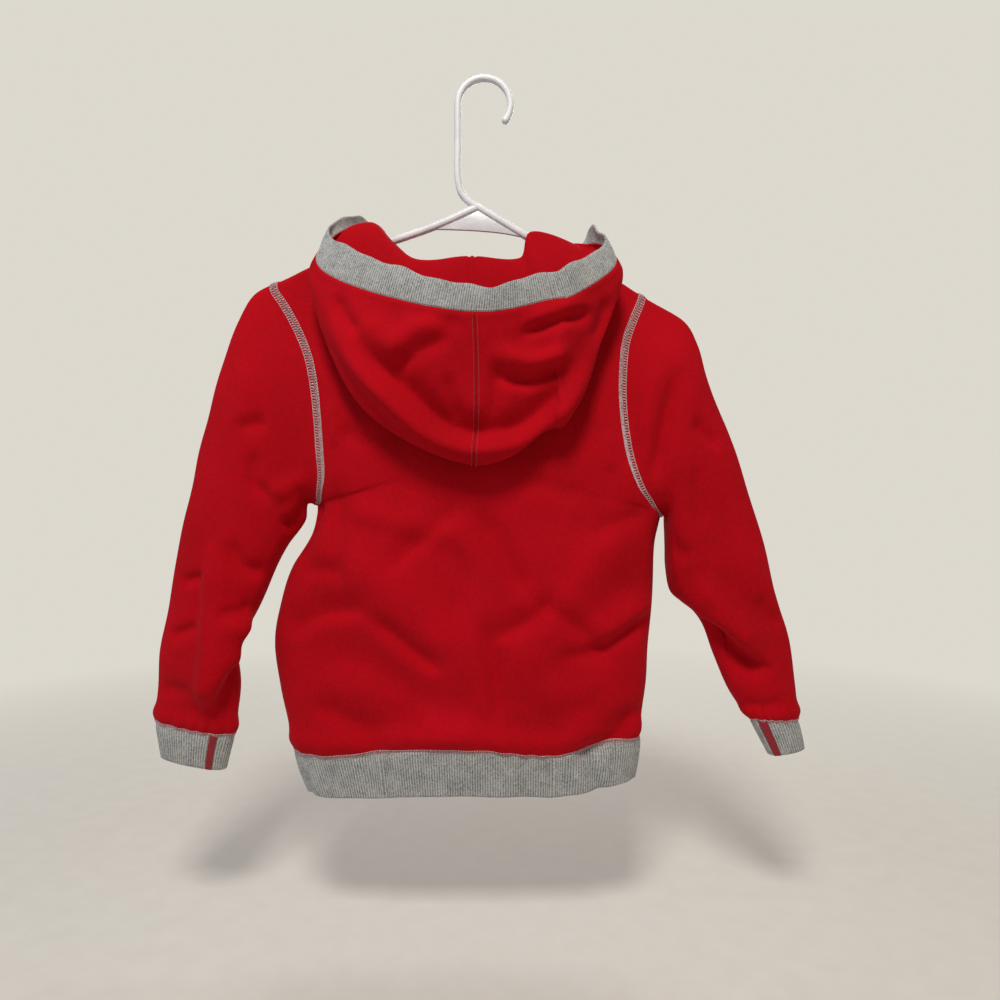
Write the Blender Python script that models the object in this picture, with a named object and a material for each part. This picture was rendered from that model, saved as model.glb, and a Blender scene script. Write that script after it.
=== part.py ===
"""A child's fleece hoodie hung on a moulded plastic hanger.

The garment is built as its cut pieces: every panel is a wall of cloth lofted through a few sections, and each
panel stops a hair short of the seam that it shares with its neighbour. Run it with
blender --background --python part.py, or from the text editor.

Axes: +Z is up, -Y is the side that the garment's back faces, +X is the wearer's right. The origin is the inside top
of the hanger's hook, where a peg or a rail carries it. Tables are in millimetres.
"""

import math

import bmesh
import bpy
import numpy as np

MM = 0.001

# Driving sizes, in millimetres
CLOTH = 2.0  # wall of brushed fleece
RIB = 2.4  # wall of folded rib
TAPE = 1.0  # wall of the woven tape
SEAM_PULL = 0.16  # each piece stops this far short of its seam
TURNED_PULL = 0.75  # and this far where it turns back beside the seam: at the armholes and the hood's neck seam
TUBE = 3.8  # radius of the hanger's rod
HOOK_ARC = 25.0  # radius of the hook, at the rod's middle
SADDLE_Z = 0.0  # inside top of the hook
SHOULDER_LIFT = 7.2  # seam above the middle of the hanger's arm
NECK_CENTRE_X = -10.0
NECK_HALF = 85.0  # half the neck's width
NECK_BACK = (-24.0, -187.0)  # y and z at the middle of the back neck
NECK_FRONT = (28.0, -215.0)  # y and z at the middle of the front neck
NECK_SLIP = 9.5  # how far the neck has slipped down on its left
NECK_REACH = 6.0  # the higher, the nearer to the neck its rounding stays
BAND_HEIGHT = 39.0
BAND_LIFT = 1.6  # the hood band starts this far above the hood's edge, where the seam's stitches run
HOOD_FOOT = 5.0  # the hood leaves the neck seam straight up before it folds
TAPE_WIDTH = 8.0
TAPE_LEFT_X = -253.0
TAPE_RIGHT_X = 256.0

# How finely each piece is cut
SHOULDER_CUTS = 4
NECK_CUTS = 16
SIDE_CUTS = 7
HOOD_CUTS = 12
HANGER_SIDES = 10

# The two arms of the hanger, from its neck outwards: x, z of the rod's middle
ARM_LEFT = ((-5.7, -118.0), (-48.5, -137.0), (-107.6, -158.0), (-160.0, -181.5), (-202.0, -201.0))
ARM_RIGHT = ((-5.7, -118.0), (47.8, -150.5), (90.0, -175.6), (127.5, -198.0), (160.0, -216.0))
TIP_LEFT = ((-211.0, -207.5), (-216.0, -216.0), (-214.0, -226.5), (-205.0, -231.5))
TIP_RIGHT = ((169.0, -222.0), (177.5, -232.0), (180.0, -242.5), (175.0, -251.0), (165.0, -254.5))

# Side seams from the hem up to the underarm: x, z
SIDE_LEFT = (
    (-177.5, -629.6), (-183.0, -608.0), (-190.7, -579.0), (-196.0, -545.0), (-197.0, -508.0),
    (-188.0, -478.0), (-178.0, -449.0), (-160.5, -423.0), (-156.8, -399.7),
)
SIDE_RIGHT = (
    (147.0, -617.8), (149.0, -600.0), (153.0, -572.0), (155.0, -545.0), (156.0, -515.0),
    (159.0, -485.0), (160.0, -458.0), (160.5, -430.0), (164.2, -409.2),
)
# Armholes from the underarm up to the shoulder: x, z, how far the back and the front stand from the middle plane
ARMHOLE_LEFT = (
    (-156.8, -399.7, 0.0, 0.0), (-154.0, -395.5, 7.5, 6.5), (-151.0, -387.0, 15.0, 12.5),
    (-147.6, -371.3, 23.0, 20.0),
    (-148.8, -348.0, 27.0, 24.0), (-151.0, -322.0, 26.0, 24.0), (-154.5, -290.0, 23.5, 21.0),
    (-160.5, -264.0, 19.5, 17.0), (-171.0, -240.0, 15.0, 13.0), (-184.0, -217.0, 11.0, 9.5),
    (-194.5, -202.0, 7.8, 7.6), (-196.6, -195.4, 5.8, 5.8), (-197.0, -191.5, 0.0, 0.0),
)
ARMHOLE_RIGHT = (
    (164.2, -409.2, 0.0, 0.0), (158.0, -403.5, 8.5, 7.0), (151.5, -395.5, 16.5, 13.5), (142.0, -382.0, 24.0, 20.0),
    (133.6, -359.0, 27.0, 24.0), (128.8, -332.0, 27.0, 24.0), (126.6, -302.0, 25.0, 22.0),
    (127.6, -275.0, 21.0, 18.0), (131.0, -250.0, 17.0, 14.0), (138.4, -229.0, 11.5, 10.0),
    (145.9, -211.5, 7.8, 7.6), (147.7, -204.6, 5.8, 5.8), (148.0, -201.3, 0.0, 0.0),
)
# Hem seam between its two corners: share of the way across, drop below the straight line, for the back and the front
HEM_SAG = ((0.0, 0.0, 0.0), (0.1, -3.0, -2.0), (0.3, 2.0, 1.0), (0.5, 0.0, 0.0), (0.78, -9.0, -4.0),
           (0.9, -1.0, 0.0), (1.0, 0.0, 0.0))
# Depth of the body's middle from the hem (0) to the shoulder (1): back and front
DEPTH = ((0.0, 29.0, 26.0), (0.1, 32.0, 28.5), (0.3, 34.0, 30.0), (0.55, 34.0, 30.0), (0.75, 27.0, 24.0),
         (0.88, 16.0, 14.5), (0.95, 10.2, 10.0), (0.978, 8.0, 7.8), (0.992, 5.9, 5.9), (1.0, 0.0, 0.0))

# Sleeves from the armhole down to the cuff: outer edge x, z; inner edge x, z; depth of the back and of the front half
SLEEVE_LEFT = (
    (-197.0, -191.5, -156.8, -399.7, 27.0, 24.0), (-217.5, -203.5, -167.0, -398.5, 28.0, 24.0),
    (-231.0, -228.0, -169.5, -413.0, 28.5, 24.5),
    (-246.0, -270.0, -176.0, -424.0, 29.0, 25.0), (-260.6, -324.0, -186.5, -438.0, 28.0, 25.0),
    (-274.0, -381.0, -195.5, -455.0, 27.0, 24.0), (-285.0, -437.5, -206.0, -482.0, 26.0, 23.0),
    (-294.0, -490.0, -220.0, -508.0, 25.0, 22.0), (-303.5, -538.0, -233.5, -530.0, 24.0, 20.0),
    (-306.5, -574.4, -231.0, -572.0, 20.0, 17.0), (-307.9, -602.0, -236.1, -616.0, 15.0, 14.0),
)
SLEEVE_RIGHT = (
    (148.0, -201.3, 164.2, -409.2, 27.0, 24.0), (185.5, -223.8, 172.5, -411.0, 31.0, 28.0),
    (199.0, -247.0, 173.0, -440.0, 30.0, 27.0), (207.5, -277.0, 173.5, -466.0, 29.0, 26.0),
    (224.6, -324.2, 177.0, -481.0, 28.0, 25.0), (243.5, -376.1, 186.8, -490.0, 26.0, 23.0),
    (260.0, -430.0, 199.0, -500.0, 25.0, 22.0), (273.0, -483.0, 208.0, -515.0, 23.0, 20.0),
    (286.0, -527.2, 216.5, -541.0, 21.0, 17.0), (292.6, -568.0, 231.5, -573.0, 17.0, 15.0),
    (294.6, -601.5, 251.5, -600.5, 13.0, 12.0),
)
# Lower edges of the cuffs, in the same columns
CUFF_END_LEFT = (-304.5, -636.0, -244.5, -648.0, 12.0, 12.0)
CUFF_END_RIGHT = (301.0, -628.0, 268.5, -634.5, 10.5, 10.5)

# The hood, by station round the neck: -1 and 1 at the centre front, 0 at the centre back. It rises from the neck seam
# to a stand, folds over, runs down inside, turns at the rim and comes up again to the edge that the band is sewn to.
HOOD_SECTIONS = (
    {"at": -1.0, "stand": (-10.6, 29, -207), "inside": (-11, 30, -206), "rim": (-11.3, 30, -205),
     "belly": (-11.6, 30, -204), "edge": (-12, 30, -203), "top": (-14, 29, -187)},
    {"at": -0.8125, "stand": (-58, 24.5, -192), "inside": (-59, 25, -190.5), "rim": (-60, 25, -189),
     "belly": (-61, 24.5, -187.5), "edge": (-62, 24, -186), "top": (-64, 22, -168)},
    {"at": -0.6875, "stand": (-84, 18.5, -168.5), "inside": (-86, 20, -166), "rim": (-87.5, 20.5, -163.5),
     "belly": (-89, 20.2, -161), "edge": (-91, 19.5, -158.5), "top": (-94, 17, -141)},
    {"at": -0.625, "stand": (-93, 14, -155), "inside": (-97, 16, -153), "rim": (-100, 16.5, -151.5),
     "belly": (-103, 16, -149.5), "edge": (-106, 15, -146.5), "top": (-109, 12.5, -130.5)},
    {"at": -0.5625, "stand": (-100, 4, -142), "inside": (-113, -4, -142.5), "rim": (-124, -11, -149.5),
     "belly": (-131, -16, -152.5), "edge": (-129, -18, -147), "top": (-125, -13, -131)},
    {"at": -0.5, "stand": (-106, -10, -138), "inside": (-130, -24, -158), "rim": (-149, -37, -206),
     "belly": (-154, -43, -199), "edge": (-147, -44, -186), "top": (-137, -38, -158)},
    {"at": -0.25, "stand": (-74, -29, -179), "inside": (-92, -41, -236), "rim": (-106, -50, -312),
     "belly": (-98, -69, -272), "edge": (-92, -71, -219), "top": (-84, -68, -192)},
    {"at": 0.0, "stand": (-10, -33, -180.5), "inside": (-8, -43, -262), "rim": (-8, -54, -363),
     "belly": (-5, -68, -305), "edge": (-6, -83, -238), "top": (-3, -85, -217.5)},
    {"at": 0.19, "stand": (33, -29, -181), "inside": (48, -41, -236), "rim": (56, -51, -330),
     "belly": (53, -68, -278), "edge": (58, -75.5, -226), "top": (52.5, -77.5, -203.5)},
    {"at": 0.25, "stand": (44, -26, -153), "inside": (66, -40, -226), "rim": (76, -50, -318),
     "belly": (72, -68, -268), "edge": (78, -72, -221), "top": (70, -74, -198.5)},
    {"at": 0.5, "stand": (86, -9, -158), "inside": (101, -24, -182), "rim": (119, -38, -208),
     "belly": (121, -44, -200), "edge": (116, -46, -189), "top": (107, -42, -168)},
    {"at": 0.5625, "stand": (80, 1, -156), "inside": (89, -6, -158), "rim": (105, -17, -172),
     "belly": (112, -25, -173), "edge": (109, -28, -165), "top": (103, -23, -148)},
    {"at": 0.625, "stand": (71, 13, -161), "inside": (75, 13, -157), "rim": (82, 9, -152),
     "belly": (90, 3, -152), "edge": (97, -3, -155), "top": (100, -6, -140)},
    {"at": 0.6875, "stand": (61, 18, -170), "inside": (62, 18, -162), "rim": (64, 19, -156),
     "belly": (70, 22, -153), "edge": (77, 27, -155), "top": (91, 35, -159)},
    {"at": 0.8125, "stand": (38, 24, -186), "inside": (39, 24, -169), "rim": (41, 30, -163),
     "belly": (44, 36, -166), "edge": (48, 40, -173), "top": (54, 44, -190)},
    {"at": 1.0, "stand": (-9, 28, -200), "inside": (-8.6, 28, -180), "rim": (-8.2, 31, -167),
     "belly": (-8, 34, -170), "edge": (-8, 36, -177), "top": (-8, 38, -194)},
)
HOOD_LEVELS = ("stand", "inside", "rim", "belly", "edge")

# Colour, roughness and metallic value of each finish
FINISHES = {
    "red_fleece": ((0.46, 0.004, 0.012, 1.0), 0.92, 0.0),
    "grey_rib": ((0.33, 0.34, 0.34, 1.0), 0.9, 0.0),
    "red_tape": ((0.42, 0.006, 0.015, 1.0), 0.7, 0.0),
    "white_plastic": ((0.86, 0.87, 0.88, 1.0), 0.32, 0.0),
}


# Curves and grids


def through(rows, at):
    """Points of one smooth curve through the rows, read at each place in at, which counts rows from 0."""
    rows = np.asarray(rows, float)
    at = np.clip(np.asarray(at, float), 0, len(rows) - 1)
    first = np.minimum(at.astype(int), len(rows) - 2)
    part = (at - first)[:, None]
    start, end = rows[first], rows[first + 1]
    leave = (end - rows[np.maximum(first - 1, 0)]) / 2
    arrive = (rows[np.minimum(first + 2, len(rows) - 1)] - start) / 2
    return (
        start * (2 * part**3 - 3 * part**2 + 1)
        + leave * (part**3 - 2 * part**2 + part)
        + end * (3 * part**2 - 2 * part**3)
        + arrive * (part**3 - part**2)
    )


def spread(rows, count):
    """Count + 1 points along the smooth curve through the rows, even in the rows' own steps."""
    return through(rows, np.linspace(0, len(rows) - 1, count + 1))


def column(table, at, which):
    """One column of a table whose first column runs from 0 to 1, read at each place in at."""
    table = np.asarray(table, float)
    place = np.interp(at, table[:, 0], np.arange(len(table)))
    return through(table[:, [which]], place)[:, 0]


def rounding(across, power=2.4):
    """1 in the middle of a panel and 0 at its sides, where it turns in as a rounded edge."""
    return np.maximum(1 - np.abs(2 * across - 1) ** power, 0) ** (1 / power)


def point_rows(*columns):
    """Coordinates side by side as rows of points."""
    return np.stack(np.broadcast_arrays(*columns), axis=-1).astype(float)


def grid_normals(grid, closed):
    """A unit normal at each point of a grid whose rows run along its second axis."""
    if closed:
        along = np.roll(grid, -1, axis=1) - np.roll(grid, 1, axis=1)
    else:
        along = np.gradient(grid, axis=1)
    normals = np.cross(along, np.gradient(grid, axis=0))
    return normals / np.maximum(np.linalg.norm(normals, axis=2, keepdims=True), 1e-9)


# The hanger's arms carry the shoulders


def arm_height(x):
    """Height of the rod's middle above or below x, along the arm on that side."""
    outward = ARM_LEFT if x < ARM_LEFT[0][0] else ARM_RIGHT
    order = sorted(outward)
    return float(np.interp(x, [p[0] for p in order], [p[1] for p in order]))


# Body


def across_shares():
    """Where the body's upright grid lines stand, from the left side (0) to the right (1)."""
    shoulder = 0.25 * np.linspace(0, 1, SHOULDER_CUTS + 1) ** 1.6
    neck = np.linspace(0.25, 0.75, NECK_CUTS + 1)[1:-1]
    return np.concatenate([shoulder, neck, 1 - shoulder[::-1]])


def neck_curve(middle):
    """The neck seam from its left side to its right, for a panel whose middle has this y and z."""
    angle = np.linspace(0, math.pi, NECK_CUTS + 1)
    x = NECK_CENTRE_X - NECK_HALF * np.cos(angle)
    sides = np.array([arm_height(x[0]), arm_height(x[-1])]) + SHOULDER_LIFT
    side_z = np.interp(x, [x[0], x[-1]], sides)
    drop = np.sin(angle) ** 1.8 * (1.5 - 0.5 * np.sin(angle))
    return point_rows(x, middle[0] * np.sin(angle), side_z + (middle[1] - side_z) * drop - NECK_SLIP * np.exp(-(((x + 50) / 19) ** 2)))


def top_edge(left, right, middle):
    """Shoulder seam, neck and shoulder seam of one panel, from its left side to its right."""
    neck = neck_curve(middle)
    shares = np.linspace(0, 1, SHOULDER_CUTS + 1)[:, None] ** 1.6
    first = left + (neck[0] - left) * shares
    last = neck[-1] + (right - neck[-1]) * (1 - shares[::-1])
    for seam in (first, last):
        seam[:, 2] = [arm_height(x) + SHOULDER_LIFT for x in seam[:, 0]]
    return np.concatenate([first, neck[1:-1], last])


def hem_edge(left, right, which):
    """The hem seam of one panel, flat: its depth is added with the panel's."""
    share = across_shares()
    straight = left + (right - left) * share[:, None]
    straight[:, 2] += column(HEM_SAG, share, which)
    return straight


def panel_side(side, armhole, facing, which):
    """One upright edge of a panel: side seam, then armhole. facing is -1 for the back and 1 for the front."""
    seam = spread(side, SIDE_CUTS)
    seam = point_rows(seam[:, 0], 0.0, seam[:, 1])
    rows = np.asarray(armhole, float)
    hole = point_rows(rows[:, 0], facing * rows[:, which], rows[:, 1])
    hole[-1, 2] = arm_height(hole[-1, 0]) + SHOULDER_LIFT
    return np.concatenate([seam, hole[1:]])


def body_panel(facing):
    """Grid of the back (facing -1) or the front (facing 1), rows from the hem up, points from left to right."""
    which = 2 if facing < 0 else 3
    left = panel_side(SIDE_LEFT, ARMHOLE_LEFT, facing, which)
    right = panel_side(SIDE_RIGHT, ARMHOLE_RIGHT, facing, which)
    hem = hem_edge(left[0], right[0], which - 1)
    top = top_edge(left[-1], right[-1], NECK_BACK if facing < 0 else NECK_FRONT)
    across = across_shares()[None, :, None]
    length = np.concatenate([[0], np.cumsum(np.linalg.norm(np.diff(left, axis=0), axis=1))])
    up = (length / length[-1])[:, None, None]
    corners = (1 - up) * (left[0] * (1 - across) + right[0] * across)
    corners = corners + up * (left[-1] * (1 - across) + right[-1] * across)
    grid = (1 - up) * hem + up * top + (1 - across) * left[:, None] + across * right[:, None] - corners
    edge = (1 - across) * left[:, None] + across * right[:, None]
    depth = facing * column(DEPTH, up[:, 0, 0], which - 1)[:, None]
    middle = rounding(across[:, :, 0])
    level = edge[:, :, 1] * (1 - middle) + depth * middle
    grid[:, :, 1] = facing * np.hypot(level, top[:, 1] * up[:, :, 0] ** NECK_REACH)
    return grid


# Sleeves and cuffs


def oval(row, shares):
    """One ring of a sleeve, from its outer edge down the back half to its inner edge and up the front half."""
    outer_x, outer_z, inner_x, inner_z, back, front = row
    turn = math.pi * shares
    along = (1 - np.cos(turn)) / 2
    x = outer_x + (inner_x - outer_x) * along
    z = outer_z + (inner_z - outer_z) * along
    swell = np.sin(turn) ** 0.8
    near = point_rows(x, -back * swell, z)
    far = point_rows(x, front * swell, z)
    return np.concatenate([near, far[-2:0:-1]])


def ring_shares(hole):
    """How far round half a sleeve each point of the armhole lies, from the shoulder (0) to the underarm (1)."""
    length = np.concatenate([[0], np.cumsum(np.linalg.norm(np.diff(hole, axis=0), axis=1))])
    along = np.clip(length / length[-1], 0, 1)
    return np.arccos(1 - 2 * along) / math.pi


def sleeve_grid(table, back_hole, front_hole):
    """Rings from the armhole, which the sleeve takes point for point, to the cuff seam."""
    hole = np.concatenate([back_hole, front_hole[-2:0:-1]])
    shares = ring_shares(back_hole)
    rings = np.stack([oval(row, shares) for row in table])
    reach = 0.05 + 0.31 * (1 - shares) ** 0.7
    reach = np.concatenate([reach, reach[-2:0:-1]])
    keep = np.clip(1 - np.linspace(0, 1, len(table))[:, None] / reach, 0, 1) ** 1.5
    return rings + keep[:, :, None] * (hole - rings[0])


def cuff_grid(top, end_row, shares):
    """Three rings of a cuff, from its seam to its open end, pulled in a little by the rib."""
    end = oval(end_row, shares)
    middle = (top + end) / 2
    centre = middle.mean(axis=0)
    return np.stack([top, centre + (middle - centre) * 0.96, end])


def waistband_grid(back, front):
    """Three rings of the band below the hem: it narrows, and its lower edge is level."""
    top = np.concatenate([back[0], front[0][-2:0:-1]])
    low = top.copy()
    low[:, 2] -= BAND_HEIGHT
    left_share = np.clip((40 - low[:, 0]) / 220, 0, 1)
    low[:, 0] += 13 * left_share**2 - 5 * np.clip((low[:, 0] - 60) / 90, 0, 1)
    low[:, 1] *= 0.93
    low[:, 2] = 0.45 * low[:, 2] + 0.55 * (-664 - 5 * left_share + 9 * np.clip((low[:, 0] - 60) / 90, 0, 1))
    middle = (top + low) / 2
    middle[:, 1] *= 0.95
    return np.stack([top, middle, low])


# Hood


def hood_level(name, at):
    """Points at one level of the hood for each station in at."""
    rows = [section[name] for section in HOOD_SECTIONS]
    place = np.interp(at, [section["at"] for section in HOOD_SECTIONS], np.arange(len(rows)))
    return through(rows, place)


def neck_loop(back, front):
    """The neck seam once round, from the centre front over the left side, and the stations of its points."""
    first, last = SHOULDER_CUTS, SHOULDER_CUTS + NECK_CUTS
    back_neck = back[-1, first : last + 1]
    front_neck = front[-1, first : last + 1]
    half = NECK_CUTS // 2
    loop = np.concatenate([front_neck[half::-1], back_neck[1:], front_neck[-2 : half - 1 : -1]])
    return loop, np.linspace(-1, 1, len(loop))


def hood_grid(loop, at):
    """Rows from the neck seam to the edge under the band, over the stations of this half."""
    levels = np.stack([loop, loop + (0, 0, HOOD_FOOT)] + [hood_level(name, at) for name in HOOD_LEVELS])
    place = np.linspace(0, len(levels) - 1, HOOD_CUTS + 1)
    return np.stack([through(levels[:, k], place) for k in range(len(loop))], axis=1)


# Walls


def wall_faces(rows, across, closed):
    """Faces of a wall whose outer points come first and whose inner points follow, grid by grid."""
    layer = rows * across
    spans = [(j, (j + 1) % across) for j in range(across if closed else across - 1)]
    faces = []
    for i in range(rows - 1):
        for j, k in spans:
            quad = (i * across + j, i * across + k, (i + 1) * across + k, (i + 1) * across + j)
            faces.append(quad)
            faces.append(tuple(layer + corner for corner in reversed(quad)))
    for j, k in spans:
        top = (rows - 1) * across
        faces.append((k, j, layer + j, layer + k))
        faces.append((top + j, top + k, layer + top + k, layer + top + j))
    if not closed:
        for i in range(rows - 1):
            low, high = i * across, (i + 1) * across
            faces.append((low, high, layer + high, layer + low))
            last = across - 1
            faces.append((high + last, low + last, layer + low + last, layer + high + last))
    return faces


def pulled_back(grid, closed, pull):
    """The grid with each open edge moved a hair inwards, along the cloth; its first row by pull."""
    moved = grid.copy()
    edges = [((0, slice(None)), (1, slice(None))), ((-1, slice(None)), (-2, slice(None)))]
    if not closed:
        edges += [((slice(None), 0), (slice(None), 1)), ((slice(None), -1), (slice(None), -2))]
    for number, (edge, inside) in enumerate(edges):
        step = grid[inside] - grid[edge]
        step /= np.maximum(np.linalg.norm(step, axis=-1, keepdims=True), 1e-9)
        moved[edge] += (SEAM_PULL if number else pull) * step
    return moved


class Piece:
    """One cut piece of cloth: a grid of points on its middle surface, and a wall of even thickness on it."""

    def __init__(self, name, grid, thickness, finish, closed=False, pull=SEAM_PULL):
        self.name = name
        self.grid = grid
        self.thickness = thickness
        self.finish = finish
        self.closed = closed
        self.pull = pull
        self.normals = grid_normals(grid, closed)

    def build(self):
        """The wall as a Blender object."""
        middle = pulled_back(self.grid, self.closed, self.pull)
        outer = middle + self.normals * self.thickness / 2
        inner = middle - self.normals * self.thickness / 2
        points = np.concatenate([outer.reshape(-1, 3), inner.reshape(-1, 3)]) * MM
        rows, across = self.grid.shape[:2]
        mesh = bpy.data.meshes.new(self.name)
        mesh.from_pydata(points.tolist(), [], wall_faces(rows, across, self.closed))
        mesh.validate()
        return place_object(self.name, mesh, self.finish)


def share_normals(pieces):
    """Gives the points that pieces share along a seam one normal, so that their walls meet without crossing."""
    total = {}
    for piece in pieces:
        for point, normal in zip(piece.grid.reshape(-1, 3), piece.normals.reshape(-1, 3)):
            key = tuple(np.round(point, 2))
            total[key] = total.get(key, 0) + normal
    for piece in pieces:
        flat = piece.normals.reshape(-1, 3)
        for index, point in enumerate(piece.grid.reshape(-1, 3)):
            normal = total[tuple(np.round(point, 2))]
            flat[index] = normal / max(np.linalg.norm(normal), 1e-9)


# Scene


def material(name):
    """The material of one finish."""
    found = bpy.data.materials.get(name)
    if found:
        return found
    colour, roughness, metallic = FINISHES[name]
    made = bpy.data.materials.new(name)
    made.use_nodes = True
    shader = made.node_tree.nodes["Principled BSDF"]
    shader.inputs["Base Color"].default_value = colour
    shader.inputs["Roughness"].default_value = roughness
    shader.inputs["Metallic"].default_value = metallic
    return made


def place_object(name, data, finish):
    """An object of the hoodie's collection, in its finish."""
    made = bpy.data.objects.new(name, data)
    made.data.materials.append(material(finish))
    bpy.data.collections["kids_hoodie"].objects.link(made)
    return made


def clear_scene():
    """Removes what the file starts with, and adds the collections."""
    for found in list(bpy.data.objects):
        bpy.data.objects.remove(found)
    for name in ("kids_hoodie", "cutters"):
        made = bpy.data.collections.new(name)
        bpy.context.scene.collection.children.link(made)


def rod_mesh(name, points, closed=False):
    """A rod through points in the hanger's plane, as a mesh."""
    curve = bpy.data.curves.new(name, "CURVE")
    curve.dimensions = "3D"
    curve.bevel_depth = TUBE * MM
    curve.bevel_resolution = (HANGER_SIDES - 4) // 2
    curve.use_fill_caps = not closed
    line = curve.splines.new("POLY")
    line.points.add(len(points) - 1)
    for knot, (x, z) in zip(line.points, points):
        knot.co = (x * MM, 0, z * MM, 1)
    line.use_cyclic_u = closed
    guide = bpy.data.objects.new(name, curve)
    bpy.data.collections["cutters"].objects.link(guide)
    graph = bpy.context.evaluated_depsgraph_get()
    mesh = bpy.data.meshes.new_from_object(guide.evaluated_get(graph))
    bpy.data.objects.remove(guide)
    return welded(mesh)


def welded(mesh):
    """The mesh with the caps of its rod joined to the wall."""
    work = bmesh.new()
    work.from_mesh(mesh)
    bmesh.ops.remove_doubles(work, verts=work.verts, dist=0.00001)
    bmesh.ops.recalc_face_normals(work, faces=work.faces)
    work.to_mesh(mesh)
    work.free()
    return mesh


def hook_points():
    """The hook and the shank: round the peg, down the left and in to the neck of the hanger."""
    centre_z = SADDLE_Z + TUBE - HOOK_ARC
    turn = np.radians(np.linspace(-42, 180, 17))
    arc = point_rows(HOOK_ARC * np.cos(turn), centre_z + HOOK_ARC * np.sin(turn))
    shank = spread(((-25.0, -60.0), (-25.0, -88.0), (-20.8, -106.0), (-7.2, -118.6)), 7)
    return np.concatenate([arc, shank])


def loop_points():
    """The closed loop of arms, rounded tips and bottom bar."""
    left = spread(ARM_LEFT + TIP_LEFT, 22)
    right = spread(ARM_RIGHT + TIP_RIGHT, 22)
    return np.concatenate([left[::-1], right[1:]])


def plate(name, outline, thickness):
    """A flat plate in the hanger's plane."""
    curve = bpy.data.curves.new(name, "CURVE")
    curve.dimensions = "2D"
    curve.fill_mode = "BOTH"
    curve.extrude = thickness * MM / 2
    line = curve.splines.new("POLY")
    line.points.add(len(outline) - 1)
    for knot, (x, z) in zip(line.points, outline):
        knot.co = (x * MM, z * MM, 0, 1)
    line.use_cyclic_u = True
    guide = bpy.data.objects.new(name, curve)
    bpy.data.collections["cutters"].objects.link(guide)
    graph = bpy.context.evaluated_depsgraph_get()
    mesh = bpy.data.meshes.new_from_object(guide.evaluated_get(graph))
    bpy.data.objects.remove(guide)
    for vertex in mesh.vertices:
        vertex.co = (vertex.co.x, vertex.co.z, vertex.co.y)
    return welded(mesh)


def add_union(target, name, mesh):
    """Joins a hidden helper to the target."""
    helper = bpy.data.objects.new(name, mesh)
    bpy.data.collections["cutters"].objects.link(helper)
    helper.hide_render = True
    helper.display_type = "WIRE"
    union = target.modifiers.new(name, "BOOLEAN")
    union.operation = "UNION"
    union.object = helper


def add_hanger():
    """One moulding: hook, web, arms, bottom bar and two strap pegs, joined by unions."""
    web = ((-6.0, -119.0), (-48.0, -137.5), (-50.0, -140.5), (-5.0, -141.5), (42.0, -149.5), (44.0, -147.5))
    adds = [("hook", rod_mesh("hook", hook_points())), ("web", plate("web", web, 3.2))]
    for name, x in (("peg_left", -97.0), ("peg_right", 100.0)):
        z = arm_height(x)
        outline = ((x - 2.2, z), (x + 2.2, z), (x + 3.2, z - 17.0), (x - 3.2, z - 17.0))
        adds.append((name, plate(name, outline, 4.0)))
    hanger = place_object("hanger", rod_mesh("loop", loop_points(), closed=True), "white_plastic")
    for name, mesh in adds:
        add_union(hanger, name, mesh)


def tape_grid(cuff, start_x):
    """A strip of tape down a cuff: the cuff's own line nearest start_x on its back half, moved out, and widened."""
    near = np.where(cuff[0, :, 1] < -1.0, np.abs(cuff[0, :, 0] - start_x), np.inf)
    line = int(np.argmin(near))
    neighbour = line + 1 if cuff[0, line + 1, 0] > cuff[0, line, 0] else line - 1
    out = (RIB / 2 + SEAM_PULL * 2 + TAPE / 2) * grid_normals(cuff, True)[:, line]
    here, there = cuff[:, line], cuff[:, neighbour]
    width = np.linalg.norm(there - here, axis=1, keepdims=True)
    edge = here + (there - here) * TAPE_WIDTH / width
    return np.stack([here + out, edge + out], axis=1)


def main():
    """Builds every piece of the garment and its hanger."""
    clear_scene()
    back, front = body_panel(-1), body_panel(1)
    holes = {}
    for side, index in (("left", 0), ("right", -1)):
        holes[side] = [panel[SIDE_CUTS:, index][::-1] for panel in (back, front)]
    pieces = [
        Piece("back", back, CLOTH, "red_fleece"),
        Piece("front", front[:, ::-1], CLOTH, "red_fleece"),
    ]
    sides = (
        ("left", SLEEVE_LEFT, CUFF_END_LEFT, TAPE_LEFT_X, 1),
        ("right", SLEEVE_RIGHT, CUFF_END_RIGHT, TAPE_RIGHT_X, -1),
    )
    tapes = []
    for side, table, end_row, tape_x, turn in sides:
        sleeve = sleeve_grid(table, *holes[side])
        cuff = cuff_grid(sleeve[-1], end_row, ring_shares(holes[side][0]))
        if turn > 0:
            sleeve, cuff = sleeve[:, ::-1], cuff[:, ::-1]
        pieces.append(Piece(f"sleeve_{side}", sleeve, CLOTH, "red_fleece", closed=True, pull=TURNED_PULL))
        pieces.append(Piece(f"cuff_{side}", cuff, RIB, "grey_rib", closed=True))
        tapes.append(Piece(f"cuff_tape_{side}", tape_grid(cuff, tape_x), TAPE, "red_tape"))
    pieces.append(Piece("waistband", waistband_grid(back, front)[::-1], RIB, "grey_rib", closed=True))
    loop, at = neck_loop(back, front)
    middle = NECK_CUTS
    for side, part in (("left", slice(0, middle + 1)), ("right", slice(middle, None))):
        hood = hood_grid(loop[part], at[part])
        pieces.append(Piece(f"hood_{side}", hood, CLOTH, "red_fleece", pull=TURNED_PULL))
    edge, top = hood_level("edge", at), hood_level("top", at)
    lift = BAND_LIFT / np.linalg.norm(top - edge, axis=1, keepdims=True)
    band = np.stack([edge + (top - edge) * lift, top])
    pieces.append(Piece("hood_band", band, RIB, "grey_rib"))
    share_normals(pieces)
    for piece in pieces + tapes:
        piece.build()
    add_hanger()


if __name__ == "__main__":
    main()
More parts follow.
